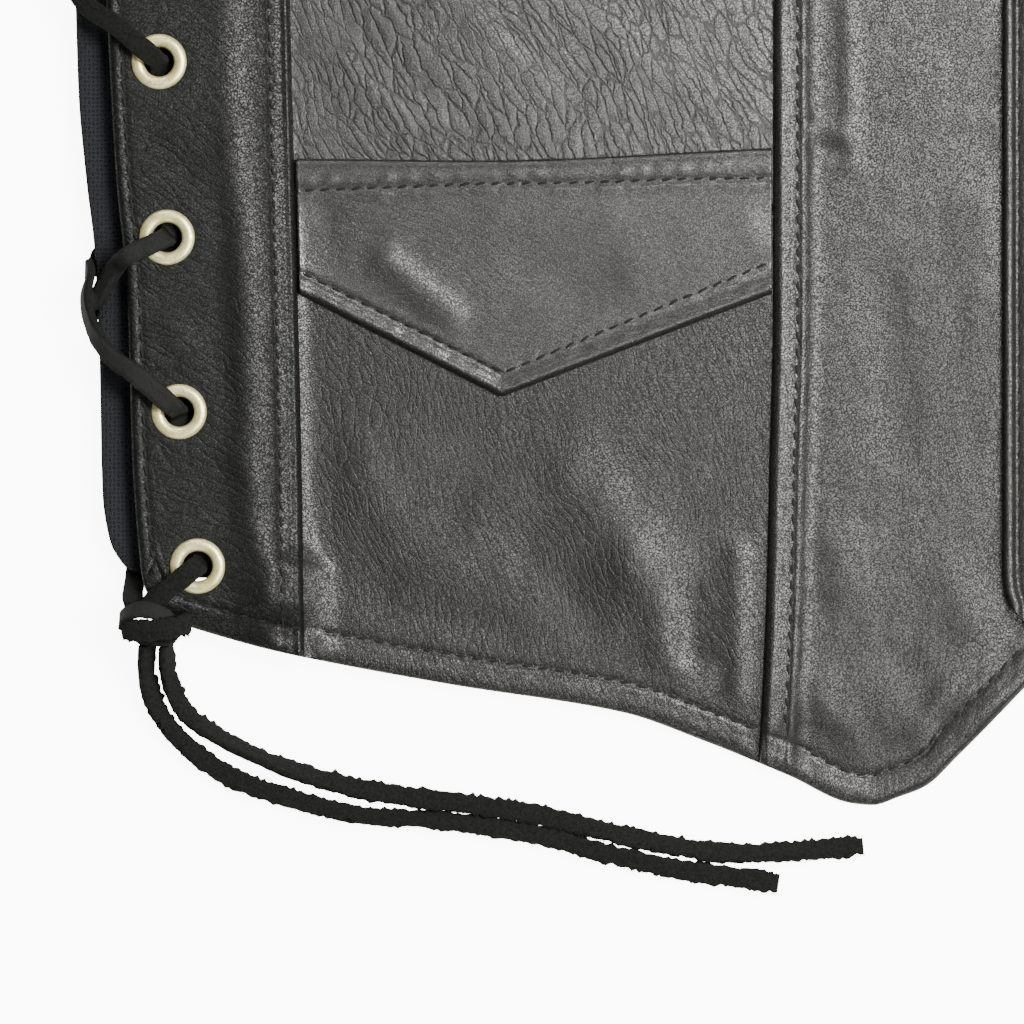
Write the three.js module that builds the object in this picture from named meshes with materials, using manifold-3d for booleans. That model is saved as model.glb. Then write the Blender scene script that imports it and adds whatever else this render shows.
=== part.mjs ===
// A black leather vest with laced sides, laid flat on its back with the snap front closed.
// Millimetres. X runs across the vest, Y from hem to shoulder, Z up from the surface it lies on.
// The outlines count y from the point of the front hem and x from centre front.
// One half is described, with its side edge at negative x, and the other half is its mirror image.
import * as THREE from "three";
import { mergeVertices } from "three/addons/utils/BufferGeometryUtils.js";
import Module from "manifold-3d";

const wasm = await Module();
wasm.setup();

// Driving sizes
const LENGTH = 591; // hem point to the neck end of the shoulder
const LEATHER = 1.4;
const LINING = 1.0;
const SEAM_GAP = 0.3;
const HEM_FOLD = 7.5; // edge to stitches
const SEAM_FOLD = 6;
const SIDE_FOLD = 3.2;
const BEAD = 2.6; // rolled bead along the front opening
const FOLD_RISE = 0.9; // how far a turned edge stands above its panel
const THINNEST = 0.6; // leather left at a rounded edge
const LAP_MARGIN = 6; // how far a middle panel runs under its neighbours
const BACK_HEM = 57;
const ARMPIT = 325;
const LACED_TO = 308;
const THONG = { wide: 4.8, thick: 2.1, gap: 0.25 };
const GROMMET = { outer: 7, hole: 3.7, barrel: 4.4, dome: 1.1, back: 0.6, backOuter: 6.1, seat: 0.15 };
const ROUND_SIDES = 8; // sides of a grommet and of the hole punched for it
const PUNCH_ROOM = 0.3;
const BACK_INSET = 18; // back edge to its grommets
const BACK_RISE = 19; // each back grommet is about half a space above the front one
const SNAP = { radius: 7, dome: 2.4, post: 2, socket: 5, count: 4, first: 78, spacing: 78 };
const OVERLAP_ROOM = 1.8; // between the two fronts, where the snaps join them
const POCKET_MOUTH = 150;
const TAIL_RADIUS = 1.9;
const TAIL_STEP = 9;
const LEFT_TAIL_TURN = -0.1; // radians about the knot, so that the two sides lie differently

// Heights of the layers above the surface, away from the lacing and under it
const LINING_UNDER = LEATHER + SEAM_GAP;
const FRONT_UNDER = LINING_UNDER + LINING + SEAM_GAP;
const LAP = LEATHER + SEAM_GAP;
const THONG_ROOM = THONG.thick + 2 * THONG.gap;
const UNDERNEATH_Z = THONG_ROOM / 2 + 0.15;
const BACK_LIFT = UNDERNEATH_Z + THONG_ROOM / 2 + GROMMET.dome;
const INSIDE_Z = BACK_LIFT + LEATHER + SEAM_GAP + LINING + GROMMET.seat + GROMMET.back + THONG_ROOM / 2;
const FRONT_LIFT = INSIDE_Z + THONG_ROOM / 2 + GROMMET.seat + GROMMET.back - FRONT_UNDER;
const OVER_FRONT = LEATHER + GROMMET.seat + GROMMET.dome + THONG_ROOM / 2;

// Outlines of the right half
const BACK_SIDE = [
  { y: 59.5, x: -233.2 }, { y: 61, x: -234.5 }, { y: 66, x: -237.3 }, { y: 78, x: -239.2 },
  { y: 114, x: -240 }, { y: 139, x: -241.2 }, { y: 156, x: -243.2 }, { y: 178, x: -245.2 },
  { y: 202, x: -246 }, { y: 300, x: -250.2 }, { y: ARMPIT, x: -251.2 }, { y: 332, x: -236.2 },
  { y: 345, x: -218.2 }, { y: 365, x: -203.2 }, { y: 390, x: -192.2 }, { y: 440, x: -180.7 },
  { y: 500, x: -179.2 }, { y: 563, x: -189.2 },
];
const BACK_BOTTOM = [
  { x: -233.2, y: 59.5 }, { x: -229, y: 57.6 }, { x: -222, y: BACK_HEM }, { x: 0, y: BACK_HEM },
];
const SHOULDER_AND_NECK = [
  { x: -189.2, y: 563 }, { x: -86, y: LENGTH }, { x: -79, y: 589 }, { x: -60, y: 580 },
  { x: -30, y: 573.5 }, { x: 0, y: 572 },
];
const FRONT_SIDE = [
  { y: 51.5, x: -226.9 }, { y: 56, x: -228.8 }, { y: 63.5, x: -229.8 }, { y: 86.5, x: -231.5 },
  { y: 128.8, x: -232.8 }, { y: 156.5, x: -235.5 }, { y: 201.5, x: -238 }, { y: 328, x: -243.7 },
];
const FRONT_HEM = [
  { x: -226.9, y: 51.5 }, { x: -223.5, y: 47 }, { x: -217.5, y: 44.8 }, { x: -194, y: 38.3 },
  { x: -153.3, y: 30.5 }, { x: -109, y: 23.3 }, { x: -88.3, y: 16 }, { x: -67.5, y: 7.5 },
  { x: -51.8, y: 0.5 }, { x: -46.3, y: 0 }, { x: -40, y: 2 }, { x: -33, y: 4.8 },
  { x: -25.3, y: 12.1 }, { x: 3, y: 41 }, { x: 9, y: 46.3 }, { x: 12.2, y: 50 },
];
const SIDE_SEAM = [
  { y: 37.8, x: -188.6 }, { y: 82.5, x: -189.3 }, { y: 129.8, x: -190.4 }, { y: 182.5, x: -191.8 },
  { y: 382, x: -195.7 },
];
const FRONT_SEAM = [
  { y: 11.5, x: -74.8 }, { y: 51.5, x: -73 }, { y: 85.5, x: -72.2 }, { y: 126.3, x: -71.3 },
  { y: 240, x: -71.3 }, { y: 380, x: -84 }, { y: 480, x: -103 }, { y: 582, x: -124 },
];
const FRONT_OPENING = [
  { y: 50, x: 12.2 }, { y: 54.5, x: 13.5 }, { y: 60, x: 13.9 }, { y: 335, x: 13.9 },
  { y: 352, x: 8 }, { y: 430, x: -24 }, { y: 520, x: -58 }, { y: LENGTH, x: -84 },
];
const ARMHOLE_LOW = [
  { x: -243.7, y: 328 }, { x: -236, y: 332 }, { x: -218, y: 345 }, { x: -203, y: 365 },
  { x: -195.7, y: 382 },
];
const CHEST_SIDE = [
  { y: 140, x: -190.8 }, { y: 202, x: -192.2 }, { y: 382, x: -195.7 }, { y: 400, x: -185 },
  { y: 440, x: -172.5 }, { y: 500, x: -171.5 }, { y: 563, x: -189.2 },
];
const FLAP_TOP = [{ x: -190.3, y: 161.8 }, { x: -144.8, y: 161.4 }, { x: -71.8, y: 164.5 }];
const FLAP_POINT = { x: -139.4, y: 102.3 };
const FLAP_END_Y = 128.3;
const FRONT_GROMMETS = [
  { x: -215.2, y: 60 }, { x: -219.8, y: 98.5 }, { x: -222.8, y: 142 }, { x: -224.8, y: 185.8 },
  { x: -226.5, y: 229.5 }, { x: -228.5, y: 273 },
];

// Soft forms in the leather
const CHEST_SWELL = { x: -134, y: 265, wide: 45, tall: 90, rise: 1.6 };
const POCKET_SWELLS = [
  { x: -109, y: 57, wide: 17, tall: 14, rise: 1.9 },
  { x: -80, y: 44, wide: 6, tall: 22, rise: 1.3 },
  { x: -93, y: 36, wide: 11, tall: 9, rise: -1.1 },
  { x: -154, y: 66, wide: 20, tall: 18, rise: 1.2 },
  { x: -176, y: 78, wide: 12, tall: 12, rise: -0.7 },
];
const EDGE_RIDGES = [
  { x: -58.6, y: 167, wide: 7, tall: 3, rise: 0.8 },
  { x: -52.8, y: 196, wide: 2.6, tall: 26, rise: 0.4 },
];

// The free ends of the thong, from the knot along the surface
const KNOT = { x: -225.3, y: 45.3, z: 12.4, wide: 7.6, tall: 5.2, thick: 2.5, tilt: 0.45, turn: -0.2 };
const LONG_TAIL = [
  { x: -223.2, y: 40.5, z: 9.8 }, { x: -222.4, y: 31.8, z: 4.6 }, { x: -218.5, y: 23.5, z: 2.3 },
  { x: -211, y: 17.8 }, { x: -194.8, y: 10 }, { x: -178.3, y: 5 }, { x: -161.5, y: 2 },
  { x: -145, y: 0 }, { x: -129.8, y: -2.5 }, { x: -106.8, y: -8 }, { x: -83.8, y: -11.8 },
  { x: -66.8, y: -11.5 }, { x: -48.8, y: -10 },
];
const SHORT_TAIL = [
  { x: -227.8, y: 40.6, z: 9.6 }, { x: -228, y: 31.8, z: 4.4 }, { x: -224.8, y: 22.8, z: 2.3 },
  { x: -217.8, y: 14.6 }, { x: -207.3, y: 7.2 }, { x: -194.8, y: 2.6 }, { x: -178.3, y: -1.8 },
  { x: -169.8, y: -3 }, { x: -159.5, y: -3.3 }, { x: -145, y: -5 }, { x: -129.8, y: -7.4 },
  { x: -112.5, y: -12.2 }, { x: -95.3, y: -16 }, { x: -78, y: -18.3 }, { x: -70, y: -19.5 },
];

// A smooth curve through a table, which never swings past its rows
function curveThrough(rows, at, give) {
  const a = rows.map((row) => row[at]);
  const b = rows.map((row) => row[give]);
  const slopes = a.slice(1).map((value, i) => (b[i + 1] - b[i]) / (value - a[i]));
  const tangents = a.map((_, i) => {
    if (i === 0) return slopes[0];
    if (i === a.length - 1) return slopes.at(-1);
    const product = slopes[i - 1] * slopes[i];
    return product <= 0 ? 0 : (2 * product) / (slopes[i - 1] + slopes[i]);
  });
  return (value) => {
    if (value <= a[0]) return b[0];
    if (value >= a.at(-1)) return b.at(-1);
    const i = a.findIndex((limit) => value < limit) - 1;
    const span = a[i + 1] - a[i];
    const t = (value - a[i]) / span;
    const start = (1 + 2 * t) * (1 - t) ** 2 * b[i] + t * (1 - t) ** 2 * span * tangents[i];
    const end = t * t * (3 - 2 * t) * b[i + 1] + t * t * (t - 1) * span * tangents[i + 1];
    return start + end;
  };
}

const backSide = curveThrough(BACK_SIDE, "y", "x");
const backBottom = curveThrough(BACK_BOTTOM, "x", "y");
const shoulderAndNeck = curveThrough(SHOULDER_AND_NECK, "x", "y");
const frontSide = curveThrough(FRONT_SIDE, "y", "x");
const frontHem = curveThrough(FRONT_HEM, "x", "y");
const sideSeam = curveThrough(SIDE_SEAM, "y", "x");
const frontSeam = curveThrough(FRONT_SEAM, "y", "x");
const frontOpening = curveThrough(FRONT_OPENING, "y", "x");
const armholeLow = curveThrough(ARMHOLE_LOW, "x", "y");
const chestSide = curveThrough(CHEST_SIDE, "y", "x");
const flapTop = curveThrough(FLAP_TOP, "x", "y");
const shoulder = (x) => shoulderAndNeck(x) - 0.5;
const flapLower = (x) => {
  const end = x < FLAP_POINT.x ? sideSeam(FLAP_END_Y) : frontSeam(FLAP_END_Y);
  return THREE.MathUtils.mapLinear(x, FLAP_POINT.x, end, FLAP_POINT.y, FLAP_END_Y);
};

const BACK_GROMMETS = FRONT_GROMMETS.map(({ y }) => ({
  x: backSide(y + BACK_RISE) + BACK_INSET,
  y: y + BACK_RISE,
}));
const SNAPS = Array.from({ length: SNAP.count }, (_, k) => ({
  x: 0,
  y: SNAP.first + SNAP.spacing * k,
}));

const rising = THREE.MathUtils.smoothstep;
const falling = (value, from, to) => 1 - rising(value, from, to);
const hump = (x, y, at) =>
  at.rise * Math.exp(-(((x - at.x) / at.wide) ** 2) - ((y - at.y) / at.tall) ** 2);
const swells = (x, y, table) => table.reduce((sum, at) => sum + hump(x, y, at), 0);

// The laces lift the back at the sides, and the fronts twice as far
function laced(x, y, across, along) {
  const inset = x - backSide(Math.min(y, ARMPIT));
  return falling(inset, across.full, across.gone) * falling(y, along.full, along.gone);
}
const backUnder = (x, y) =>
  BACK_LIFT * laced(x, y, { full: 33, gone: 52 }, { full: LACED_TO, gone: LACED_TO + 24 });
function frontUnder(x, y) {
  const corner = 1 - 0.62 * falling(y, 42, 52);
  const lift = laced(x, y, { full: 35, gone: 54 }, { full: LACED_TO + 8, gone: LACED_TO + 38 });
  return FRONT_UNDER * rising(y, 4, 31) + FRONT_LIFT * corner * lift;
}

// A turned and stitched edge: rounded, thicker as far as its stitches, which lie in a groove
function turnedEdge(distance, width, rise) {
  const round = 1.2;
  const lost = 0.6 * (LEATHER + rise);
  const inside = Math.min(Math.max(distance / round, 0), 1);
  const rounded = lost * (1 - Math.sqrt(inside * (2 - inside)));
  const stitched = 0.3 * Math.exp(-(((distance - width) / 0.9) ** 2));
  return rise * falling(distance, width - 1, width + 0.6) - rounded - stitched;
}
// The rolled bead along the front opening, with the groove inside it
function beadedEdge(distance) {
  const bead = distance < BEAD ? 0.9 * Math.sin((Math.PI * (distance + 0.5)) / (BEAD + 0.9)) : 0;
  const groove = 0.5 * Math.exp(-(((distance - BEAD - 0.9) / 0.9) ** 2));
  return bead - groove - 0.5 * falling(distance, 0, 0.6);
}
// Where edges meet, the higher form and the deeper hollow hold
const joined = (...reliefs) => Math.max(0, ...reliefs) + Math.min(0, ...reliefs);
const skins = (under, relief) => ({
  under,
  over: under + Math.max(LEATHER + relief, THINNEST),
});

// A closed wall through rows of points, each with the heights of its lower and upper skin
function wall(rows) {
  const last = rows.length - 1;
  const width = rows[0].length;
  const positions = ["under", "over"].flatMap((skin) =>
    rows.flatMap((row) => row.flatMap((p) => [p.x, p.y, p[skin]])),
  );
  const lower = (i, j) => i * width + j;
  const upper = (i, j) => (rows.length + i) * width + j;
  const faces = [];
  const quad = (a, b, c, d) => faces.push(a, b, c, a, c, d);
  for (let i = 0; i < last; i++) {
    for (let j = 0; j < width - 1; j++) {
      quad(upper(i, j), upper(i, j + 1), upper(i + 1, j + 1), upper(i + 1, j));
      quad(lower(i, j), lower(i + 1, j), lower(i + 1, j + 1), lower(i, j + 1));
    }
    const edge = width - 1;
    quad(lower(i + 1, 0), lower(i, 0), upper(i, 0), upper(i + 1, 0));
    quad(lower(i, edge), lower(i + 1, edge), upper(i + 1, edge), upper(i, edge));
  }
  for (let j = 0; j < width - 1; j++) {
    quad(lower(0, j), lower(0, j + 1), upper(0, j + 1), upper(0, j));
    quad(lower(last, j + 1), lower(last, j), upper(last, j), upper(last, j + 1));
  }
  const geometry = new THREE.BufferGeometry();
  geometry.setAttribute("position", new THREE.Float32BufferAttribute(positions, 3));
  geometry.setIndex(faces);
  return geometry;
}

// Distances along a line: those near its start, even ones between, and those near its end
function stations(length, { near, between, far }) {
  const scale = Math.min(1, length / (near.at(-1) + far.at(-1) + 1));
  const from = near.at(-1) * scale;
  const step = (length - far.at(-1) * scale - from) / (between + 1);
  return [
    ...near.map((d) => d * scale),
    ...Array.from({ length: between }, (_, k) => from + step * (k + 1)),
    ...far.map((d) => length - d * scale).reverse(),
  ];
}
const turned = (width) => [0, 1.2, width - 1, width + 0.6];

// A panel between four edges. height gives its two skins from a place and its distances from them.
function panel({ left, right, bottom, top, across, along, height }) {
  const columns = across.near.length + across.between + across.far.length;
  const count = along.near.length + along.between + along.far.length;
  const rows = Array.from({ length: count }, (_, i) =>
    Array.from({ length: columns }, (_, j) => {
      let x = (left(LENGTH / 3) + right(LENGTH / 3)) / 2;
      let y = (bottom(x) + top(x)) / 2;
      let slant = 1;
      for (let pass = 0; pass < 12; pass++) {
        x = left(y) + stations(right(y) - left(y), across)[j];
        slant = Math.hypot(1, (bottom(x + 1) - bottom(x - 1)) / 2);
        const near = along.near.map((d) => d * slant);
        y = bottom(x) + stations(top(x) - bottom(x), { ...along, near })[i];
      }
      const lean = Math.hypot(1, (right(y + 1) - right(y - 1)) / 2);
      const distance = {
        left: x - left(y),
        right: (right(y) - x) / lean,
        bottom: (y - bottom(x)) / slant,
        top: top(x) - y,
      };
      return { x, y, ...height(x, y, distance) };
    }),
  );
  return wall(rows);
}

// Holes for the grommets and snaps
function solid(geometry) {
  const bare = geometry.clone();
  bare.deleteAttribute("normal");
  bare.deleteAttribute("uv");
  const merged = mergeVertices(bare, 1e-4);
  return new wasm.Manifold(
    new wasm.Mesh({
      numProp: 3,
      vertProperties: merged.attributes.position.array,
      triVerts: new Uint32Array(merged.index.array),
    }),
  );
}
function punched(geometry, places, radius) {
  const reach = (radius + PUNCH_ROOM) / Math.cos(Math.PI / ROUND_SIDES);
  let body = solid(geometry);
  for (const place of places) {
    const punch = new THREE.CylinderGeometry(reach, reach, 60, ROUND_SIDES);
    punch.rotateX(Math.PI / 2);
    punch.translate(place.x, place.y, 0);
    body = body.subtract(solid(punch));
  }
  const { vertProperties, triVerts } = body.getMesh();
  const cut = new THREE.BufferGeometry();
  cut.setAttribute("position", new THREE.BufferAttribute(vertProperties, 3));
  cut.setIndex([...triVerts]);
  return cut;
}

// The back and its lining: rows from hem to shoulder, columns close together over the lacing
const BACK_COLUMNS = [0, 1.2, 33, 39, 46, 52, 115, 180];
const BACK_ROWS = [0, 8, 25, 95, 170, 253, 262, 271, 279, 290, 309, 335, 385, 445, 515];

function backLayer(height, thickness, inset) {
  const rows = BACK_ROWS.map((rise) => {
    const share = rise / BACK_ROWS.at(-1);
    const half = BACK_COLUMNS.map((offset) => {
      let x = -LENGTH / 3;
      let y = BACK_HEM;
      for (let pass = 0; pass < 12; pass++) {
        const side = backSide(y) + inset;
        x = side * (1 - offset / -backSide(ARMPIT));
        const bottom = backBottom(x) + inset;
        y = bottom + (shoulderAndNeck(x) - inset - bottom) * share;
      }
      const under = height(x, y);
      const rounded = offset === 0 ? 0.4 * thickness : 0;
      return { x, y, under, over: under + thickness - rounded };
    });
    const bottom = BACK_HEM + inset;
    const y = bottom + (shoulderAndNeck(0) - inset - bottom) * share;
    const centre = { x: 0, y, under: height(0, y), over: height(0, y) + thickness };
    return [...half, centre, ...half.map((p) => ({ ...p, x: -p.x })).reverse()];
  });
  const holes = [...BACK_GROMMETS, ...BACK_GROMMETS.map(({ x, y }) => ({ x: -x, y }))];
  return punched(wall(rows), holes, GROMMET.barrel);
}

// Fronts
function sidePanel() {
  const geometry = panel({
    left: frontSide,
    right: sideSeam,
    bottom: frontHem,
    top: armholeLow,
    across: { near: turned(SIDE_FOLD), between: 1, far: [...turned(SEAM_FOLD), LAP_MARGIN + 5, 19] },
    along: { near: [...turned(HEM_FOLD), 16], between: 3, far: [...turned(SEAM_FOLD), 34] },
    height: (x, y, from) => {
      const lap = LAP * falling(from.right, LAP_MARGIN + 1, LAP_MARGIN + 5);
      const relief = joined(
        turnedEdge(from.left, SIDE_FOLD, 0.6),
        turnedEdge(from.right, SEAM_FOLD, FOLD_RISE),
        turnedEdge(from.bottom, HEM_FOLD - 1, 0.5),
        turnedEdge(from.top, SEAM_FOLD, 0.5),
      );
      return skins(frontUnder(x, y) + lap, relief);
    },
  });
  return punched(geometry, FRONT_GROMMETS, GROMMET.barrel);
}

// Away from the parts of a middle panel that lie under its neighbours
const clearOfLaps = (from) =>
  rising(from.left, LAP_MARGIN + 0.6, LAP_MARGIN + 5) *
  rising(from.right, LAP_MARGIN + 0.6, LAP_MARGIN + 5);

function chestPanel() {
  return panel({
    left: (y) => chestSide(y) - LAP_MARGIN * falling(y, 372, 384),
    right: (y) => frontSeam(y) + LAP_MARGIN,
    bottom: () => POCKET_MOUTH + SEAM_GAP / 2,
    top: shoulder,
    across: { near: [0, 1.2, 3.6, 6.6, 12], between: 2, far: [0, 11] },
    along: { near: [0, 20, 90, 157, 175, 196], between: 4, far: [0, 1.2, 8] },
    height: (x, y, from) => {
      const armhole = rising(y, 372, 392) * turnedEdge(from.left, SEAM_FOLD, 0.5);
      const swell = hump(x, y, CHEST_SWELL) * clearOfLaps(from) * rising(y, 168, 205);
      return skins(frontUnder(x, y) + 0.6 * swell, joined(armhole, turnedEdge(from.top, 5, 0.3)));
    },
  });
}

function pocketFront() {
  return panel({
    left: (y) => sideSeam(y) - LAP_MARGIN,
    right: (y) => frontSeam(y) + LAP_MARGIN,
    bottom: frontHem,
    top: () => POCKET_MOUTH - SEAM_GAP / 2,
    across: { near: [0, 3.5, 7, 12], between: 6, far: [0, 7, 12] },
    along: { near: [...turned(HEM_FOLD), 30], between: 4, far: [0, 20] },
    height: (x, y, from) => {
      const clear = clearOfLaps(from);
      const swell = clear * rising(from.bottom, 9, 18) * falling(y, 88, 99);
      const depth = swell * swells(x, y, POCKET_SWELLS);
      const relief = clear * Math.max(turnedEdge(from.bottom, HEM_FOLD, FOLD_RISE), -0.3);
      return skins(frontUnder(x, y) + 0.7 * Math.max(depth, 0), relief + 0.6 * Math.min(depth, 0));
    },
  });
}

function pocketFlap() {
  const fold = 4.6;
  const toPoint = FLAP_POINT.x - sideSeam(FLAP_POINT.y) - 0.5;
  return panel({
    left: (y) => sideSeam(y) + 0.5,
    right: (y) => frontSeam(y) - 0.5,
    bottom: flapLower,
    top: flapTop,
    across: { near: [0, 2, ...[0.28, 0.52, 0.76, 1].map((share) => share * toPoint)], between: 4, far: [0, 2] },
    along: { near: turned(fold), between: 1, far: turned(SEAM_FOLD) },
    height: (x, y, from) => {
      const relief = joined(
        turnedEdge(from.bottom, fold, FOLD_RISE),
        turnedEdge(from.top, SEAM_FOLD, FOLD_RISE),
      );
      return skins(frontUnder(x, y) + LAP, relief);
    },
  });
}

// The panel along the front opening. The left one lies on the right one.
function edgePanel(overlaps) {
  const geometry = panel({
    left: frontSeam,
    right: frontOpening,
    bottom: frontHem,
    top: shoulder,
    across: { near: [...turned(SEAM_FOLD), LAP_MARGIN + 5], between: 2, far: [0, 1.3, 2.6, 3.6, 13, 31] },
    along: { near: [...turned(HEM_FOLD), 30, 58], between: 8, far: [0, 1.2] },
    height: (x, y, from) => {
      const lap = LAP * falling(from.left, LAP_MARGIN + 1, LAP_MARGIN + 5);
      const neck = rising(y, 330, 372);
      const onOther = overlaps ? rising(x, -34, -16) * falling(y, 352, 400) : 0;
      const relief = joined(
        turnedEdge(from.left, SEAM_FOLD, FOLD_RISE),
        turnedEdge(from.bottom, HEM_FOLD, FOLD_RISE) * rising(from.right, 3, 9),
        (1 - neck) * beadedEdge(from.right) + neck * turnedEdge(from.right, 5, 0.5),
        turnedEdge(from.top, 5, 0.3),
        swells(x, y, EDGE_RIDGES),
      );
      return skins(frontUnder(x, y) + lap + onOther * (LEATHER + OVERLAP_ROOM), relief);
    },
  });
  return overlaps ? punched(geometry, SNAPS, SNAP.post) : geometry;
}

// A turned piece of metal from a profile of radius and height, standing along Z
function turnedMetal(profile, sides) {
  const geometry = new THREE.LatheGeometry(profile.map(([r, z]) => new THREE.Vector2(r, z)), sides);
  return geometry.rotateX(Math.PI / 2);
}

// A grommet through leather of a thickness, whose lower side is at zero
function grommet(thickness) {
  const { outer, hole, barrel, dome, back, backOuter, seat } = GROMMET;
  const face = thickness + seat;
  const profile = [
    [hole, -seat - back], [backOuter, -seat - 0.8 * back], [backOuter, -seat], [barrel, -seat],
    [barrel, face], [outer, face], [outer - 1.9, face + dome], [hole + 0.3, face + 0.5 * dome],
    [hole, -seat - back],
  ];
  return turnedMetal(profile, ROUND_SIDES);
}

// A snap through the upper front, down to the lower one
function snap() {
  const { radius, dome, post, socket } = SNAP;
  const lower = FRONT_UNDER + LEATHER;
  const upper = lower + OVERLAP_ROOM;
  const cap = upper + LEATHER + GROMMET.seat;
  const profile = [
    [0, lower + SEAM_GAP], [socket, lower + SEAM_GAP], [socket, upper - SEAM_GAP],
    [post, upper - SEAM_GAP], [post, cap], [radius, cap], [radius - 0.4, cap + 0.5 * dome],
    [radius - 2.2, cap + 0.9 * dome], [0, cap + dome],
  ];
  return turnedMetal(profile, ROUND_SIDES);
}

// The thong's way through the twelve grommets of a side, from the knot and back to it
function laceRoute() {
  const front = (i) => ({ kind: "front", ...FRONT_GROMMETS[i] });
  const back = (i) => ({ kind: "back", ...BACK_GROMMETS[i] });
  const round = (y, out) => ({ kind: "edge", x: backSide(y) - out, y });
  const crossing = (i) => (BACK_GROMMETS[i].y + FRONT_GROMMETS[i + 1].y) / 2;
  const snug = 2.6;
  const outside = 5.1;
  const bulge = 8;
  const route = [{ kind: "end", x: -219.5, y: 49.5, z: KNOT.z + 2 }];
  for (const i of [0, 2, 4]) {
    const from = FRONT_GROMMETS[i];
    const rise = BACK_GROMMETS[i + 1].y - from.y;
    route.push(front(i));
    for (const share of [0.3, 0.66])
      route.push({ kind: "inside", x: from.x + bulge, y: from.y + share * rise });
    route.push(back(i + 1));
    route.push(i < 4 ? round(crossing(i + 1), snug) : round(BACK_GROMMETS[5].y + 5, snug));
  }
  for (const i of [4, 2, 0]) {
    route.push(front(i + 1), back(i));
    if (i > 0) route.push(round(crossing(i - 1), outside));
  }
  route.push(
    { kind: "end", x: -229.2, y: 66, z: UNDERNEATH_Z },
    { kind: "end", x: -232, y: 59.5, z: UNDERNEATH_Z + 0.2 },
    { kind: "end", x: -233, y: 53.5, z: 6 },
    { kind: "end", x: -233.2, y: 48.8, z: 10.6 },
  );
  return route;
}

const flatUp = new THREE.Vector3(0, 0, 1);
// The stops of the thong's middle line: each has a point and the way its flat side looks
function laceStops() {
  const route = laceRoute();
  const stops = [];
  const stop = (x, y, z, flat = flatUp) => stops.push({ at: new THREE.Vector3(x, y, z), flat });
  const heading = (from, to) => new THREE.Vector2(to.x - from.x, to.y - from.y).normalize();

  const drop = (hole, from, to, start, end) => {
    const coming = heading(from, hole);
    const going = heading(hole, to);
    const middle = coming.clone().add(going).normalize();
    const across = new THREE.Vector3(middle.x, middle.y, 0);
    const inHole = (start - end) / 2 - 1;
    const centre = (start + end) / 2;
    stop(hole.x - 7.4 * coming.x, hole.y - 7.4 * coming.y, start);
    stop(hole.x - 2.9 * coming.x, hole.y - 2.9 * coming.y, start - 0.05);
    stop(hole.x - 0.5 * coming.x, hole.y - 0.5 * coming.y, centre + inHole, across);
    stop(hole.x + 0.5 * going.x, hole.y + 0.5 * going.y, centre - inHole, across);
    stop(hole.x + 2.9 * going.x, hole.y + 2.9 * going.y, end + 0.05);
    stop(hole.x + 7.4 * going.x, hole.y + 7.4 * going.y, end);
  };
  const roundEdge = (turn, from, to) => {
    const edge = backSide(turn.y);
    const frontEdge = frontSide(turn.y);
    const between = (a, b, x) => THREE.MathUtils.mapLinear(x, a.x, b.x, a.y, b.y);
    const inner = edge + 3.6;
    stop(inner, between(from, turn, inner), UNDERNEATH_Z);
    const lower = edge - 1.35;
    stop(lower, between(from, turn, lower), UNDERNEATH_Z + 0.4, new THREE.Vector3(0.4, 0, 1));
    stop(turn.x, turn.y, 4.9, new THREE.Vector3(1, 0, 0));
    const rising = turn.x + 0.6;
    stop(rising, between(turn, to, rising), 9.4, new THREE.Vector3(-1, 0, 0.5));
    const over = frontEdge - 0.8;
    stop(over, between(turn, to, over), frontUnder(frontEdge, turn.y) + OVER_FRONT - 0.5);
  };

  route.forEach((place, i) => {
    const [from, to] = [route[i - 1], route[i + 1]];
    if (place.kind === "front") {
      const start = frontUnder(place.x, place.y) + OVER_FRONT;
      drop(place, from, to, start, INSIDE_Z);
    } else if (place.kind === "back") drop(place, from, to, INSIDE_Z, UNDERNEATH_Z);
    else if (place.kind === "edge") roundEdge(place, from, to);
    else stop(place.x, place.y, place.z ?? INSIDE_Z);
  });
  return stops;
}

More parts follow.
